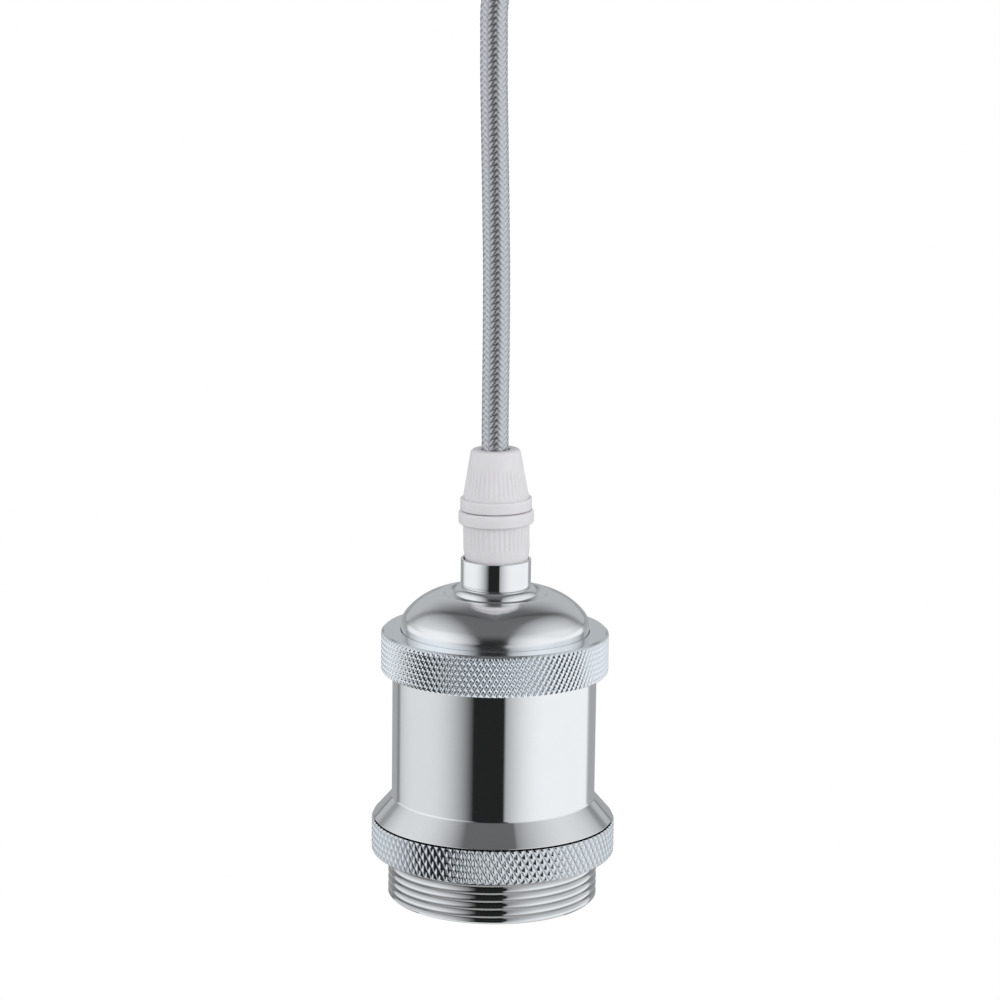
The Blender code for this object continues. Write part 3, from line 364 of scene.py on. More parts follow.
def metal(name, colour, roughness, spread, turning, grain):
    """Bare metal: uneven polish, faint turning lines round Z and a fine grain, and painted shade where the
    groove attribute darkens its colour.
    """
    made, tree, shader = material(name, roughness, 1.0)
    cloud = noise(tree, 180.0)
    lines = noise(tree, 60.0, (0.4, 0.4, 90.0))
    groove = add_node(tree, "ShaderNodeAttribute", {"attribute_name": "groove"})
    bare = mixed(tree, cloud, grey(0.965, colour), grey(1.0, colour))
    # Painted shade: the groove attribute darkens the metal's colour towards a tenth of it
    feed(tree, mixed(tree, Value(tree, groove.outputs["Fac"]), bare, grey(0.10, colour)),
         shader.inputs["Base Color"])
    uneven = cloud * spread + lines * (spread * 0.6) + (roughness - spread * 0.8)
    feed(tree, uneven, shader.inputs["Roughness"])
    bump(tree, shader, lines * turning + noise(tree, 9000.0) * grain, 0.25, 0.00002)
    return made


def nylon_material():
    made, tree, shader = material(
        "nylon", 0.34, 0.0, Subsurface_Weight=0.35, Subsurface_Scale=0.0016, Specular_IOR_Level=0.55)
    shader.inputs["Subsurface Radius"].default_value = (1.0, 0.95, 0.9)
    cloud = noise(tree, 260.0)
    feed(tree, mixed(tree, cloud, (0.61, 0.600, 0.617, 1.0), (0.66, 0.650, 0.667, 1.0)),
         shader.inputs["Base Color"])
    feed(tree, noise(tree, 900.0) * 0.14 + 0.30, shader.inputs["Roughness"])
    bump(tree, shader, noise(tree, 2600.0), 0.12, 0.00003)
    return made


def braid_material():
    made, tree, shader = material("braid", 0.24, 0.90, Sheen_Weight=0.08, Sheen_Roughness=0.4)
    depth = add_node(tree, "ShaderNodeAttribute", {"attribute_name": "relief"})
    fibre = add_node(tree, "ShaderNodeAttribute", {"attribute_name": "fibre"})
    relief = Value(tree, depth.outputs["Fac"])
    threads = (Value(tree, fibre.outputs["Fac"]) * math.tau).math("SINE")
    # Painted shade: the braid's colour darkens down between its strands, by their relief, under random tone
    painted_shade_and_tone = relief.step(0.05, 0.85) * 0.85 + noise(tree, 1600.0) * 0.3
    feed(tree, mixed(tree, painted_shade_and_tone, (0.09, 0.092, 0.10, 1.0), (0.60, 0.605, 0.635, 1.0)),
         shader.inputs["Base Color"])
    feed(tree, noise(tree, 2200.0) * 0.14 + 0.18, shader.inputs["Roughness"])
    bump(tree, shader, threads * 0.5 + noise(tree, 7000.0), 0.20, 0.00004)
    return made


def smooth_material(name, dark, light, roughness, bumps, **constants):
    """Porcelain, moulded plastic or insulation: a clouded colour under a soft gloss."""
    made, tree, shader = material(name, roughness, 0.0, **constants)
    feed(tree, mixed(tree, noise(tree, 320.0), (*dark, 1.0), (*light, 1.0)), shader.inputs["Base Color"])
    feed(tree, noise(tree, 700.0) * (roughness * 0.5) + roughness * 0.75, shader.inputs["Roughness"])
    bump(tree, shader, noise(tree, 1500.0), bumps, 0.00004)
    return made


def striped_core_material():
    """Green insulation with a yellow stripe."""
    made, tree, shader = material("core_green", 0.4, 0.0)
    place = add_node(tree, "ShaderNodeTexCoord")
    split = add_node(tree, "ShaderNodeSeparateXYZ")
    tree.links.new(place.outputs["Object"], split.inputs["Vector"])
    wave = (Value(tree, split.outputs["Y"]) * 3600.0 + Value(tree, split.outputs["Z"]) * 1100.0).math("SINE")
    feed(tree, mixed(tree, wave.step(0.1, 0.25), (0.05, 0.30, 0.05, 1.0), (0.75, 0.62, 0.05, 1.0)),
         shader.inputs["Base Color"])
    feed(tree, noise(tree, 700.0) * 0.15 + 0.33, shader.inputs["Roughness"])
    return made


COOL = (0.985, 0.992, 1.0)
MATERIALS = {
    "polished_metal": metal("polished_metal", grey(0.95, COOL)[:3], 0.055, 0.02, 0.12, 0.05),
    "satin_metal": metal("satin_metal", grey(0.95, COOL)[:3], 0.15, 0.04, 0.4, 0.3),
    "knurled_metal": metal("knurled_metal", (0.885, 0.925, 0.965), 0.10, 0.04, 0.2, 0.2),
    "nylon": nylon_material(),
    "braid": braid_material(),
    "porcelain": smooth_material("porcelain", (0.80, 0.79, 0.76), (0.86, 0.85, 0.82), 0.14, 0.08,
                                 Coat_Weight=0.4, Coat_Roughness=0.08),
    "contact_brass": metal("contact_brass", (0.83, 0.64, 0.33), 0.22, 0.12, 0.4, 0.4),
    "plated_steel": metal("plated_steel", (0.70, 0.71, 0.72), 0.30, 0.12, 0.5, 0.5),
    "core_brown": smooth_material("core_brown", (0.17, 0.07, 0.03), (0.24, 0.11, 0.05), 0.4, 0.15),
    "core_blue": smooth_material("core_blue", (0.03, 0.11, 0.36), (0.06, 0.18, 0.48), 0.4, 0.15),
    "core_green": striped_core_material(),
}


# Meshes

def mark_painted_shade(piece, shares):
    """Painted shade at each vertex, 0 to 1, kept in the groove attribute, which darkens the metal's colour
    there.
    """
    layer = piece.data.attributes.new("groove", "FLOAT", "POINT")
    layer.data.foreach_set("value", np.asarray(shares, dtype=np.float32).ravel())


def vertices(piece):
    points = np.empty(len(piece.data.vertices) * 3)
    piece.data.vertices.foreach_get("co", points)
    return points.reshape(-1, 3)


def make_piece(name, points, faces, slot, place=HOLDER, sharp=30.0):
    mesh = bpy.data.meshes.new(name)
    mesh.from_pydata(points.tolist(), [], faces)
    mesh.validate()
    mesh.shade_smooth()
    mesh.set_sharp_from_angle(angle=math.radians(sharp))
    mesh.materials.append(MATERIALS[slot])
    piece = bpy.data.objects.new(name, mesh)
    SCENE.collection.objects.link(piece)
    piece.matrix_world = place
    return piece


def rounded(corners, steps=6):
    """A closed outline of (radius, height, rounding) corners, its corners as arcs."""
    outline = []
    count = len(corners)
    for i, (radius, height, rounding) in enumerate(corners):
        here = np.array((radius, height))
        if not rounding:
            outline.append(here)
            continue
        before = np.array(corners[i - 1][:2]) - here
        after = np.array(corners[(i + 1) % count][:2]) - here
        length_before = np.linalg.norm(before)
        length_after = np.linalg.norm(after)
        before = before / length_before
        after = after / length_after
        half = math.acos(max(-1.0, min(1.0, float(before @ after)))) / 2
        reach = min(rounding / math.tan(half), length_before * 0.48, length_after * 0.48)
        bend = reach * math.tan(half)
        middle = (before + after) / np.linalg.norm(before + after)
        centre = here + middle * bend / math.sin(half)
        first = here + before * reach - centre
        last = here + after * reach - centre
        sweep = math.pi - 2 * half
        for k in range(steps + 1):
            t = k / steps
            outline.append(centre + (math.sin((1 - t) * sweep) * first + math.sin(t * sweep) * last)
                           / math.sin(sweep))
    return outline


def corner_index(outline, radius, height):
    """The place in an outline of an unrounded corner."""
    return next(i for i, point in enumerate(outline)
                if abs(point[0] - radius) < ON_FACE and abs(point[1] - height) < ON_FACE)


def straight(start, end, count):
    """Points between two of an outline, without its ends."""
    return [np.array(start) + (np.array(end) - np.array(start)) * i / count for i in range(1, count)]


def arc(centre, radii, start, end, steps):
    """An elliptic arc, angles in degrees from +radius towards +height."""
    points = []
    for i in range(steps + 1):
        angle = math.radians(start + (end - start) * i / steps)
        points.append(np.array((centre[0] + radii[0] * math.cos(angle),
                                centre[1] + radii[1] * math.sin(angle))))
    return points


def lathe(name, outline, segments, slot, relief=None, closed=True, place=HOLDER, sharp=30.0, crossed=None):
    """Turn an outline that runs down its outer side; relief changes radii by (angle, radius, height).
    crossed(row, column) picks the quads that are split along their other diagonal."""
    outline = np.array(outline)
    angles = np.arange(segments) * math.tau / segments
    radii = np.repeat(outline[:, :1], segments, axis=1)
    heights = np.repeat(outline[:, 1:], segments, axis=1)
    if relief:
        radii = relief(np.broadcast_to(angles, radii.shape), radii, heights)
    points = np.stack((radii * np.cos(angles), radii * np.sin(angles), heights), axis=-1).reshape(-1, 3)
    rows = len(outline)
    upper = np.arange(rows if closed else rows - 1)
    row, column = np.meshgrid(upper, np.arange(segments), indexing="ij")
    below = (row + 1) % rows
    beside = (column + 1) % segments
    a = (row * segments + column).ravel()
    b = (below * segments + column).ravel()
    c = (below * segments + beside).ravel()
    d = (row * segments + beside).ravel()
    if crossed is None:
        faces = np.stack((a, b, c, d), axis=1).tolist()
    else:
        other = crossed(row.ravel(), column.ravel())
        first = np.where(other[:, None], np.stack((a, b, d), axis=1), np.stack((a, b, c), axis=1))
        second = np.where(other[:, None], np.stack((b, c, d), axis=1), np.stack((a, c, d), axis=1))
        faces = np.concatenate((first, second)).tolist()
    if not closed:
        faces.append(list(range(segments))[::-1])
        faces.append(list(range((rows - 1) * segments, rows * segments)))
    return make_piece(name, points, faces, slot, place, sharp)


# Flex

def smooth_route(points, steps):
    """Catmull-Rom curve through given points."""
    knots = [Vector(point) for point in points]
    knots = [2 * knots[0] - knots[1]] + knots + [2 * knots[-1] - knots[-2]]
    route = []
    for before, start, end, after in zip(knots, knots[1:], knots[2:], knots[3:]):
        for i in range(steps):
            t = i / steps
            route.append(0.5 * (2 * start + (end - before) * t
                                + (2 * before - 5 * start + 4 * end - after) * t ** 2
                                + (3 * start - before - 3 * end + after) * t ** 3))
    route.append(knots[-2])
    return route


def flex_route():
    return [point + Vector((0.0, 0.0, HOLDER_HEIGHT)) for point in smooth_route(FLEX_KNOTS, 12)]


def braid_relief(around, along):
    """Height, 0 to 1, and a coordinate across the fibres of a two-over, two-under braid."""
    a = around + along
    b = around - along
    across_a = a - np.floor(a)
    across_b = b - np.floor(b)
    lift_b = np.sin(math.pi / 2 * np.mod(a + np.floor(b), 4.0))
    lift_a = -np.sin(math.pi / 2 * np.mod(b + np.floor(a), 4.0))
    body_b = np.sqrt(np.clip(1.0 - (2.0 * across_b - 1.0) ** 2, 0.0, 1.0)) * STRAND_HEIGHT
    body_a = np.sqrt(np.clip(1.0 - (2.0 * across_a - 1.0) ** 2, 0.0, 1.0)) * STRAND_HEIGHT
    height_a = body_a + lift_a * STRAND_LIFT
    height_b = body_b + lift_b * STRAND_LIFT
    height = np.maximum(height_a, height_b)
    fibre = np.where(height_a > height_b, across_a, across_b)
    return height, fibre


def build_flex():
    route = np.array(flex_route())
    steps = np.linalg.norm(np.diff(route, axis=0), axis=1)
    run = np.concatenate(([0.0], np.cumsum(steps)))
    length = run[-1]
    seen_from = GRIP_SEAT + GRIP_TOP + HOLDER_HEIGHT - BRAID_OVERLAP - route[0][2]
    seen_to = ROSE_FOOT - GRIP_TOP + BRAID_OVERLAP - route[0][2]
    fine = BRAID_PITCH / BRAID_SAMPLES
    stations = np.concatenate((
        np.arange(0.0, seen_from, fine * BRAID_HIDDEN_STEP),
        np.arange(seen_from, seen_to, fine),
        np.arange(seen_to, length, fine * BRAID_HIDDEN_STEP),
        [length]))
    centres = np.stack([np.interp(stations, run, route[:, k]) for k in range(3)], axis=1)
    ahead = np.gradient(centres, axis=0)
    ahead /= np.linalg.norm(ahead, axis=1)[:, None]
    side = np.array((1.0, 0.0, 0.0)) - ahead * ahead[:, :1]
    side /= np.linalg.norm(side, axis=1)[:, None]
    front = np.cross(ahead, side)
    columns = BRAID_STRANDS * BRAID_SAMPLES
    turn = np.arange(columns) / columns
    around, along = np.meshgrid(turn * BRAID_STRANDS, stations / BRAID_PITCH)
    height, fibre = braid_relief(around, along)
    top = STRAND_HEIGHT + STRAND_LIFT
    radii = FLEX_RADIUS + BRAID_STANDOUT - top + height
    angle = turn * math.tau
    points = (centres[:, None, :] + radii[:, :, None]
              * (side[:, None, :] * np.cos(angle)[None, :, None]
                 + front[:, None, :] * np.sin(angle)[None, :, None]))
    rows = len(stations)
    row, column = np.meshgrid(np.arange(rows - 1), np.arange(columns), indexing="ij")
    beside = (column + 1) % columns
    faces = np.stack((row * columns + column, row * columns + beside,
                      (row + 1) * columns + beside, (row + 1) * columns + column), axis=-1)
    faces = faces.reshape(-1, 4).tolist()
    faces.append(list(range(columns))[::-1])
    faces.append(list(range((rows - 1) * columns, rows * columns)))
    flex = make_piece("braided_flex", points.reshape(-1, 3), faces, "braid", Matrix.Identity(4), 180.0)
    for name, values in (("relief", (height - height.min()) / np.ptp(height)), ("fibre", fibre * 4.0)):
        layer = flex.data.attributes.new(name, "FLOAT", "POINT")
        layer.data.foreach_set("value", values.astype(np.float32).ravel())
    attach(flex, "holder")
    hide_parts("flex_cord")


# Turned and knurled metal

def thread_wave(angle, height):
    """The thread's crest, 1, and the middle of its groove, 0."""
    return 0.5 - 0.5 * np.cos(math.tau * height / THREAD_PITCH - angle)


def thread_relief(angle, radius, height):
    """The outer thread, its turns fading out at both ends."""
    risen = np.clip((height - THREAD_FOOT) / THREAD_FADE, 0.0, 1.0)
    inside = risen * np.clip((THREAD_TOP - height) / THREAD_FADE, 0.0, 1.0)
    inside = inside * (np.abs(radius - THREAD_CREST) < ON_FACE)
    return radius - THREAD_DEPTH * inside * (1.0 - thread_wave(angle, height)) ** THREAD_POWER


def thread_painted_shade(points):
    """The painted shade at each of the sleeve's vertices: down the thread's grooves, on its down-facing
    flanks and just under the shade ring.
    """
    height = points[:, 2]
    angle = np.arctan2(points[:, 1], points[:, 0])
    groove = (1.0 - thread_wave(angle, height)) ** GROOVE_PAINTED_SHADE_POWER * GROOVE_PAINTED_SHADE
    flank = np.clip(np.sin(math.tau * height / THREAD_PITCH - angle), 0.0, 1.0) * FLANK_PAINTED_SHADE
    below_ring = height - SHADE_RING["foot"] + UNDER_RING_REACH
    under_ring = np.clip(below_ring / UNDER_RING_FADE, 0.0, 1.0) * UNDER_RING_PAINTED_SHADE
    threaded = (height < THREAD_TOP) & (np.hypot(points[:, 0], points[:, 1]) > SLEEVE_RADIUS)
    return np.where(threaded, np.maximum.reduce([groove, flank, under_ring]), 0.0)


def build_sleeve():
    shell = rounded([
        (SLEEVE_BORE, SLEEVE_HEIGHT, SOFT_EDGE),
        (SLEEVE_RADIUS, SLEEVE_HEIGHT, SOFT_EDGE),
        (SLEEVE_RADIUS, SLEEVE_HEIGHT - WALL_ROW, 0.0),
        (SLEEVE_RADIUS, FLARE_CREASE + WALL_ROW, 0.0),
        (SLEEVE_RADIUS, FLARE_CREASE, FLARE_CREASE_ROUND),
        (FLARE_RADIUS, THREAD_LENGTH + FLARE_EDGE * 0.5, FLARE_RIM_ROUND),
        (FLARE_RADIUS, THREAD_LENGTH, FLARE_FOOT_ROUND),
        (THREAD_CREST - THREAD_DEPTH, THREAD_LENGTH, 0.0),
        (THREAD_CREST - THREAD_LEAD_IN, 0.0, 0.0),
        (SLEEVE_BORE, 0.0, SOFT_EDGE),
        (SLEEVE_BORE, LEDGE_FOOT, 0.0),
        (LEDGE_BORE, LEDGE_FOOT, SOFT_EDGE),
        (LEDGE_BORE, LEDGE_TOP, SOFT_EDGE),
        (SLEEVE_BORE, LEDGE_TOP, 0.0),
    ])
    split = corner_index(shell, THREAD_CREST - THREAD_DEPTH, THREAD_LENGTH) + 1
    thread = [np.array((THREAD_CREST, THREAD_TOP))]
    thread += straight((THREAD_CREST, THREAD_TOP), (THREAD_CREST, THREAD_FOOT), THREAD_ROWS)
    thread += [np.array((THREAD_CREST, THREAD_FOOT))]
    outline = shell[:split] + thread + shell[split:]
    sleeve = lathe("sleeve_shell", outline, FINE, "polished_metal", thread_relief, sharp=35.0)
    # Painted shade in the thread's grooves, on its down-facing flanks and under the shade ring
    mark_painted_shade(sleeve, thread_painted_shade(vertices(sleeve)))
    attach(sleeve, "holder")
    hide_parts("body_sleeve")


def knurl_relief(ring):
    """A diamond knurl with dished diamonds, and chamfered edges, on a ring's outer face."""
    radius = ring["radius"]

    def relief(angle, radii, height):
        around = angle * ring["cells"] / math.tau
        along = (height - ring["foot"]) / ring["cell_height"]
        off_rising = np.abs(around - along - np.floor(around - along) - 0.5)
        off_falling = np.abs(around + along - np.floor(around + along) - 0.5)
        rising = np.clip((off_rising - 0.5 + ring["groove"]) / ring["groove"], 0.0, 1.0)
        falling = np.clip((off_falling - 0.5 + ring["groove"]) / ring["groove"], 0.0, 1.0)
        dish = np.clip(1.0 - (off_rising ** 2 + off_falling ** 2) / DISH_WIDTH ** 2, 0.0, 1.0)
        cut = np.maximum(rising * ring["rising"], falling * ring["falling"]) + dish * ring["dish"]
        foot_edge = np.clip(ring["foot_edge"] - (height - ring["foot"]), 0.0, None)
        top_edge = np.clip(ring["top_edge"] - (ring["top"] - height), 0.0, None)
        face = np.abs(radii - radius) < ON_FACE
        return np.where(face, radius - np.maximum(cut, np.maximum(foot_edge, top_edge)), radii)

    return relief


def knurl_crossed(row, column):
    """The quads whose other diagonal lies along a groove; the first row is the top edge."""
    return (row - 1 + column) % CELL_STEPS == CELL_STEPS - 1


def build_ring(name, node, ring, inner, body):
    """A knurled ring: its outer face in rows a tenth of a cell apart, then its inner outline."""
    step = ring["cell_height"] / CELL_STEPS
    count = int((ring["top"] - ring["foot"]) / step)
    heights = [ring["top"]] + [ring["foot"] + step * i for i in range(count, 0, -1)] + [ring["foot"]]
    outline = [np.array((ring["radius"], height)) for height in heights]
    outline += rounded([(ring["radius"] - ring["edge_width"], ring["foot"], 0.0)] + inner
                       + [(ring["radius"] - ring["edge_width"], ring["top"], 0.0)])
    segments = ring["cells"] * CELL_STEPS
    made = lathe(name, outline, segments, "knurled_metal", knurl_relief(ring), sharp=40.0,
                 crossed=knurl_crossed)
    points = vertices(made)
    sunk = ring["radius"] - np.hypot(points[:, 0], points[:, 1])
    depth = np.clip(sunk / max(ring["rising"], ring["falling"]), 0.0, 1.0)
    outer = np.arange(len(sunk)) < len(heights) * segments
    # Painted shade down the knurl's grooves, darker the deeper they are
    mark_painted_shade(made, np.where(outer, depth ** KNURL_PAINTED_SHADE_POWER * ring["painted_shade"], 0.0))
    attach(made, body)
    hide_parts(node)


def build_rings():
    build_ring("shade_ring_knurled", "shade_ring", SHADE_RING, [
        (SHADE_RING_BORE, SHADE_RING["foot"], SOFT_EDGE),
        (SHADE_RING_BORE, SHADE_RING["top"], SOFT_EDGE),
    ], "shade_ring")
    build_ring("clamp_ring_knurled", "clamp_ring", CLAMP_RING, [
        (CLAMP_RING_BORE, CLAMP_RING["foot"], SOFT_EDGE),
        (CLAMP_RING_BORE, CLAMP_LIP_FOOT, 0.0),
        (CLAMP_LIP_BORE, CLAMP_LIP_FOOT, 0.0),
        (CLAMP_LIP_BORE, CLAMP_RING["top"], SOFT_EDGE),
    ], "holder")


def build_dome():
    outline = [np.array((DOME_HOLE, BEAD_TOP))]
    outline += arc((BEAD_RADIUS - BEAD_ROUND[0], BEAD_TOP - BEAD_ROUND[1]), BEAD_ROUND, 90, 0, 14)
    groove = [(radius, 0.0, height) for radius, height in GROOVE]
    outline += [np.array((point.x, point.z)) for point in smooth_route(groove, 4)[:-1]]
    outline += arc(CROWN_CENTRE, (CROWN_RADIUS, CROWN_RADIUS), CROWN_TOP_ANGLE, CROWN_ANGLE, 32)
    outline += arc(KNUCKLE_CENTRE, (KNUCKLE_RADIUS, KNUCKLE_RADIUS), CROWN_ANGLE, 0, 16)[1:]
    outline += rounded([
        (DOME_FOOT_RADIUS, DOME_FLANGE_TOP, 0.0),
        (DOME_FLANGE_RADIUS, DOME_FLANGE_TOP, SOFT_EDGE),
        (DOME_FLANGE_RADIUS, DOME_FLANGE_FOOT, SOFT_EDGE),
        (DOME_FOOT_RADIUS - DOME_WALL, DOME_FLANGE_FOOT, 0.0),
    ])
    inner_top = GROOVE[2][1] - DOME_WALL
    inner_crown = CROWN_RADIUS - DOME_WALL
    inner_angle = math.degrees(math.asin((inner_top - CROWN_CENTRE[1]) / inner_crown))
    inner_knuckle = KNUCKLE_RADIUS - DOME_WALL
    outline += arc(KNUCKLE_CENTRE, (inner_knuckle, inner_knuckle), 0, CROWN_ANGLE, 6)
    outline += arc(CROWN_CENTRE, (inner_crown, inner_crown), CROWN_ANGLE, inner_angle, 8)[1:]
    outline.append(np.array((DOME_HOLE, inner_top)))
    dome = lathe("dome_shell", outline, FINE, "satin_metal")
    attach(dome, "holder")
    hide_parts("dome_cap")


def build_neck():
    outline = rounded([
        (NECK_MOUTH, NECK_TOP, SOFT_EDGE),
        (NECK_RADIUS, NECK_TOP, NECK_TOP_ROUND),
        (NECK_RADIUS, NECK_TOP - WALL_ROW, 0.0),
        (NECK_RADIUS, NECK_FOOT + WALL_ROW, 0.0),
        (NECK_RADIUS, NECK_FOOT, NECK_FOOT_ROUND),
        (SPIGOT_RADIUS, NECK_FOOT, 0.0),
        (SPIGOT_RADIUS, SPIGOT_FOOT, SOFT_EDGE),
        (NECK_BORE, SPIGOT_FOOT, SOFT_EDGE),
        (NECK_BORE, GRIP_SEAT, 0.0),
        (NECK_MOUTH, GRIP_SEAT, 0.0),
    ])
    neck = lathe("neck_tube", outline, FINE, "polished_metal")
    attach(neck, "holder")
    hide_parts("neck_bush")


# Nylon grips

def ribs(low, high, fade):
    """Fine upright ribs on a nylon face between two heights."""
    def relief(angle, radius, height):
        share = np.clip((height - low) / fade, 0.0, 1.0) * np.clip((high - height) / fade, 0.0, 1.0)
        share = share * (radius > GRIP_TIP_RADIUS - 0.0001)
        wave = 0.5 - 0.5 * np.cos(angle * GRIP_RIBS)
        return radius - GRIP_RIB_DEPTH * share * wave ** 2
    return relief


def build_grip(prefix, place):
    """The grip's body and its cone nut."""
    foot = SEAT_GAP
    waist = foot + (GRIP_COLLAR_FOOT - foot) * GRIP_WAIST_SHARE
    body_outline = rounded([
        (GRIP_BORE, GRIP_COLLAR_TOP + GRIP_COLLET_LENGTH, 0.0),
        (GRIP_COLLET_RADIUS, GRIP_COLLAR_TOP + GRIP_COLLET_LENGTH, SOFT_EDGE),
        (GRIP_COLLET_RADIUS, GRIP_COLLAR_TOP, 0.0),
        (GRIP_COLLAR_RADIUS, GRIP_COLLAR_TOP, GRIP_COLLAR_ROUND),
        (GRIP_COLLAR_RADIUS, GRIP_COLLAR_FOOT, GRIP_COLLAR_ROUND),
        (GRIP_WAIST_RADIUS, GRIP_COLLAR_FOOT, 0.0),
    ])
    body_outline += straight((GRIP_WAIST_RADIUS, GRIP_COLLAR_FOOT), (GRIP_WAIST_RADIUS, waist), 10)
    body_outline += rounded([
        (GRIP_WAIST_RADIUS, waist, 0.0),
        (GRIP_FOOT_RADIUS, foot + (waist - foot) * GRIP_FOOT_SHARE, GRIP_EDGE_ROUND),
        (GRIP_FOOT_RADIUS, foot, 0.0),
        (GRIP_STEM_RADIUS, foot, 0.0),
        (GRIP_STEM_RADIUS, -GRIP_STEM_LENGTH, SOFT_EDGE),
        (GRIP_BORE, -GRIP_STEM_LENGTH, 0.0),
    ])
    body = lathe(prefix + "grip_collar", body_outline, GRIP_RIB_SEGMENTS, "nylon",
                 ribs(waist, GRIP_COLLAR_FOOT - 0.0002, 0.0005), place=place)
    nut_outline = rounded([
        (GRIP_TIP_BORE, GRIP_TOP, GRIP_TIP_BORE_ROUND),
        (GRIP_TIP_RADIUS, GRIP_TOP, GRIP_TIP_ROUND),
        (GRIP_CONE_FOOT_RADIUS, GRIP_BAND_TOP, 0.0),
        (GRIP_BAND_RADIUS, GRIP_BAND_TOP, GRIP_EDGE_ROUND),
        (GRIP_BAND_RADIUS, GRIP_NUT_FOOT, GRIP_EDGE_ROUND),
        (GRIP_CAVITY_RADIUS, GRIP_NUT_FOOT, 0.0),
        (GRIP_CAVITY_RADIUS, GRIP_CAVITY_TOP, 0.0),
        (GRIP_BORE, GRIP_CAVITY_TOP, 0.0),
        (GRIP_BORE, GRIP_TOP - GRIP_TIP_WALL, 0.0),
    ])
    split = corner_index(nut_outline, GRIP_CONE_FOOT_RADIUS, GRIP_BAND_TOP)
    cone = straight(tuple(nut_outline[split - 1]), tuple(nut_outline[split]), 24)
    nut_outline = nut_outline[:split] + cone + nut_outline[split:]
    nut = lathe(prefix + "grip_cone", nut_outline, GRIP_RIB_SEGMENTS, "nylon",
                ribs(GRIP_BAND_TOP + 0.0003, GRIP_TOP - 0.0030, 0.0008), place=place)
    for piece, node in ((body, "grip_body"), (nut, "grip_nut")):
        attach(piece, "holder")
        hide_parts(prefix + node)


def build_grips():
    tilt = (Matrix.Translation((0.0, 0.0, GRIP_SEAT + GRIP_TILT_PIVOT)) @ Matrix.Rotation(GRIP_TILT, 4, "Y")
            @ Matrix.Translation((0.0, 0.0, -GRIP_TILT_PIVOT)))
    build_grip("", HOLDER @ tilt)
    build_grip("rose_", Matrix.Translation((0.0, 0.0, ROSE_FOOT)) @ Matrix.Rotation(math.pi, 4, "X"))


# Ceiling rose

def build_rose():
    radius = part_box("rose_cover")[1].x
    centre = (radius - ROSE_CORNER, ROSE_FOOT + ROSE_CORNER)
    inner_corner = ROSE_CORNER - ROSE_WALL
    outline = rounded([
        (radius - ROSE_WALL, 0.0, SOFT_EDGE),
        (radius, 0.0, SOFT_EDGE),
        (radius, -ROSE_RIM_ROW, 0.0),
    ])
    outline += arc(centre, (ROSE_CORNER, ROSE_CORNER), 0, -90, 20)
    outline += [np.array((ROSE_HOLE, ROSE_FOOT)), np.array((ROSE_HOLE, ROSE_FOOT + ROSE_WALL))]
    outline += arc(centre, (inner_corner, inner_corner), -90, 0, 12)
    rose = lathe("rose_shell", outline, FINE, "polished_metal", place=Matrix.Identity(4))
    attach(rose, "holder")
    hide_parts("rose_cover")


# Carried-over nodes

def dress_nodes():
    """Every node that stays gets the material of its slot in the record."""
    slots = {part["node"]: part["material_slot"] for part in frame["record"]["subparts"]}
    for name, node in NODES.items():
        node.data.materials.clear()
        node.data.materials.append(MATERIALS[slots[name]])


# Stage and light

def add_floor():
    mesh = bpy.data.meshes.new("floor")
    angles = np.arange(FLOOR_SIDES) * math.tau / FLOOR_SIDES
    points = np.stack((np.cos(angles), np.sin(angles), np.zeros(FLOOR_SIDES)), axis=1) * FLOOR_RADIUS
    mesh.from_pydata(points.tolist(), [], [list(range(FLOOR_SIDES))])
    floor = bpy.data.objects.new("floor", mesh)
    SCENE.collection.objects.link(floor)
    floor.location.z = HOLDER_HEIGHT - FLOOR_DROP
    made = bpy.data.materials.new("floor")
    made.use_nodes = True
    tree = made.node_tree
    tree.nodes.clear()
    matte = add_node(tree, "ShaderNodeBsdfDiffuse", Color=(0.86, 0.86, 0.86, 1.0))
    glow = add_node(tree, "ShaderNodeEmission", Color=(1.0, 1.0, 1.0, 1.0), Strength=1.0)
    rays = add_node(tree, "ShaderNodeLightPath")
    camera, glossy, through = (Value(tree, rays.outputs[kind]) for kind in
                               ("Is Camera Ray", "Is Glossy Ray", "Is Transmission Ray"))
    seen = camera.math("MAXIMUM", glossy).math("MAXIMUM", through)
    blend = tree.nodes.new("ShaderNodeMixShader")
    feed(tree, seen * FLOOR_GLOW, blend.inputs[0])
    tree.links.new(matte.outputs[0], blend.inputs[1])
    tree.links.new(glow.outputs[0], blend.inputs[2])
    output = tree.nodes.new("ShaderNodeOutputMaterial")
    tree.links.new(blend.outputs[0], output.inputs["Surface"])
    mesh.materials.append(made)


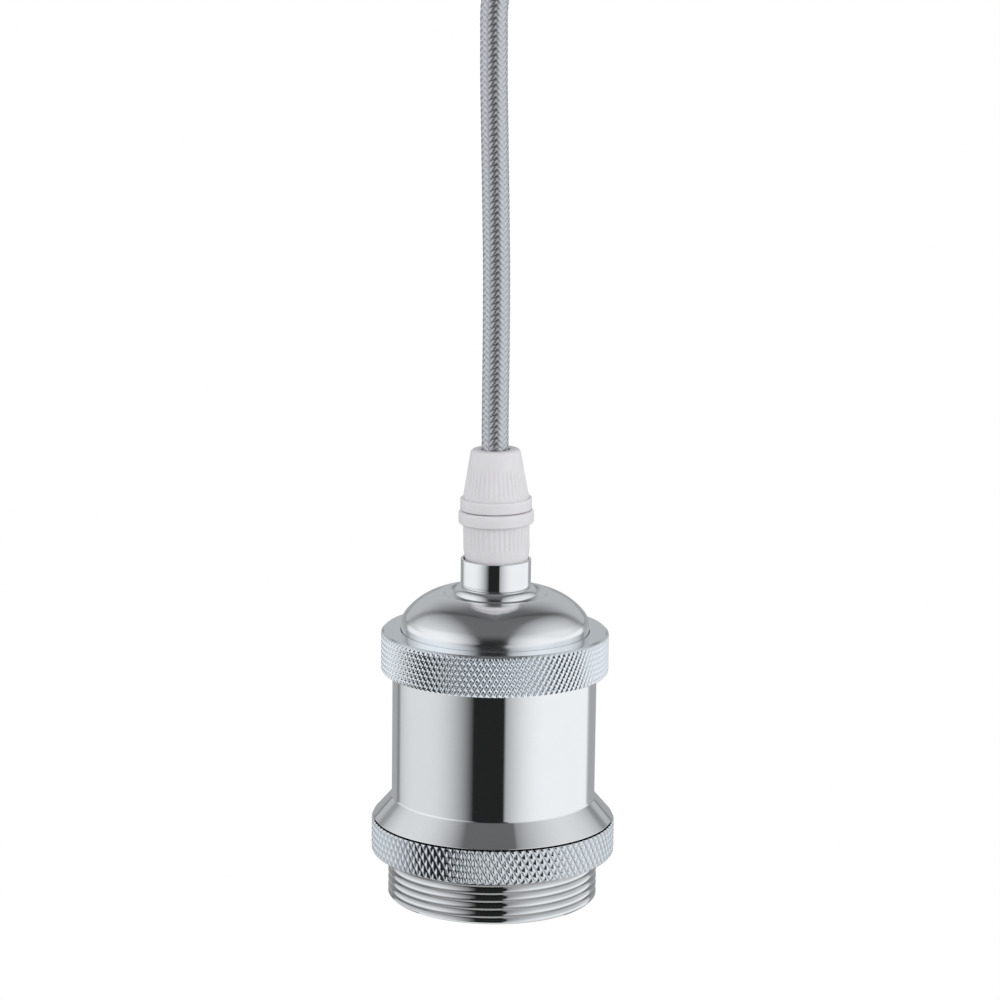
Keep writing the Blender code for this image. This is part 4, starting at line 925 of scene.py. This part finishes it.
def studio_reflections(tree):
    """What polished metal sees: a light panel on either side, each brighter outwards, a
    dark gap between them in front that turns grey overhead, and a duller room behind."""
    place = add_node(tree, "ShaderNodeTexCoord")
    split = add_node(tree, "ShaderNodeSeparateXYZ")
    tree.links.new(place.outputs["Generated"], split.inputs["Vector"])
    x, y, z = (Value(tree, split.outputs[axis]) for axis in "XYZ")
    degrees = 180.0 / math.pi

    # Degrees off to the side, over the top from the front, and round from the front
    rise = z.step(0.0, 0.12)
    side = x.math("ARCSINE") * degrees
    over = z.math("MAXIMUM", 0.0).math("ARCTAN2", y * -1.0) * degrees * rise
    turn = (x.math("ARCTAN2", y * -1.0) * degrees).math("ABSOLUTE")

    def swelling(start, width):
        """From 0 at its start to 1 a width further, rising fast at first."""
        share = (side - start).math("DIVIDE", width).math("MAXIMUM", 0.0).math("MINIMUM", 1.0)
        rest = share * -1.0 + 1.0
        return rest * rest * -1.0 + 1.0

    # Left panel, which starts softly and reaches further in past the top
    upper = z.step(-0.15, -0.05)
    past_top = over.step(60.0, 120.0)
    left_start = upper * 4.5 + past_top * -4.0 - 20.5
    left_width = upper * 3.0 + past_top * -8.0 - 53.0
    left_level = z.step(-0.246, -0.232) * 0.18 + past_top * -0.03 + over.step(125.0, 165.0) * -0.20 + 0.76
    left = swelling(left_start, left_width) * left_level

    # Right panel, with a firm edge
    right_start = upper * 3.8 + over.step(60.0, 145.0) * 17.0 + 11.5
    right_edge = side.step(right_start - 1.5, right_start + 2.5)
    right_base = over.step(10.0, 80.0, 0.38, 0.20)
    right_rise = swelling(right_start, 45.0) * over.step(40.0, 90.0, 0.57, 0.65)
    right = (right_base + right_rise + over.step(130.0, 165.0) * -0.08) * right_edge

    # The gap between them, the room behind, and the dark seam where the panels end
    gap = over.step(8.0, 68.0, 0.017, 0.14)
    level = left.math("MAXIMUM", right).math("MAXIMUM", gap)
    behind = turn.step(135.0, 144.0)
    room = over.step(114.0, 154.0, 0.13, 0.50) * rise + (rise * -0.40 + 0.40)
    level = level * (behind * -1.0 + 1.0) + room * behind
    seam = turn.step(129.0, 136.0) * turn.step(137.0, 145.0, 1.0, 0.0)
    depth = over.step(95.0, 165.0, 0.62, 0.25) * rise + (rise * -0.45 + 0.45)
    level = level * (seam * depth * -1.0 + 1.0)

    # A little less light from far below
    level = level * z.step(-0.62, -0.32, 0.85, 1.0)
    return mixed(tree, level, (0.0, 0.0, 0.0, 1.0), grey(1.0, (0.945, 0.975, 1.0)))


def add_world():
    world = bpy.data.worlds.new("studio")
    SCENE.world = world
    world.use_nodes = True
    tree = world.node_tree
    tree.nodes.clear()
    rays = add_node(tree, "ShaderNodeLightPath")
    glossy = Value(tree, rays.outputs["Is Glossy Ray"]).math(
        "MAXIMUM", Value(tree, rays.outputs["Is Transmission Ray"]))
    camera = Value(tree, rays.outputs["Is Camera Ray"])
    colour = mixed(tree, glossy, (0.80, 0.80, 0.81, 1.0), studio_reflections(tree))
    colour = mixed(tree, camera, colour, (1.0, 1.0, 1.0, 1.0))
    background = add_node(tree, "ShaderNodeBackground", Color=colour, Strength=1.0)
    output = tree.nodes.new("ShaderNodeOutputWorld")
    tree.links.new(background.outputs[0], output.inputs["Surface"])


def add_lamp(name, place, size, power):
    data = bpy.data.lights.new(name, "AREA")
    data.size = size
    data.energy = power
    lamp = bpy.data.objects.new(name, data)
    SCENE.collection.objects.link(lamp)
    lamp.location = place
    target = Vector((0.0, 0.0, HOLDER_HEIGHT + LAMP_AIM))
    lamp.rotation_euler = (target - lamp.location).to_track_quat("-Z", "Y").to_euler()
    lamp.visible_glossy = False
    lamp.visible_camera = False


def add_light():
    add_world()
    middle = HOLDER_HEIGHT + LAMP_AIM
    add_lamp("key_left", (-0.9, -0.7, middle + 0.5), 0.8, 4.0)
    add_lamp("fill_right", (1.0, -0.6, middle + 0.3), 0.8, 6.0)


def keep_rose_off_the_metal():
    """The real flex is a metre or more long, so the dome doesn't mirror the rose."""
    for item in SCENE.objects:
        if item.name.startswith(("rose_", "block_", "terminal_block")):
            item.visible_glossy = False


add_camera()
build_flex()
build_sleeve()
build_rings()
build_dome()
build_neck()
build_grips()
build_rose()
dress_nodes()
add_floor()
add_light()
keep_rose_off_the_metal()
SCENE.view_settings.view_transform = "Standard"
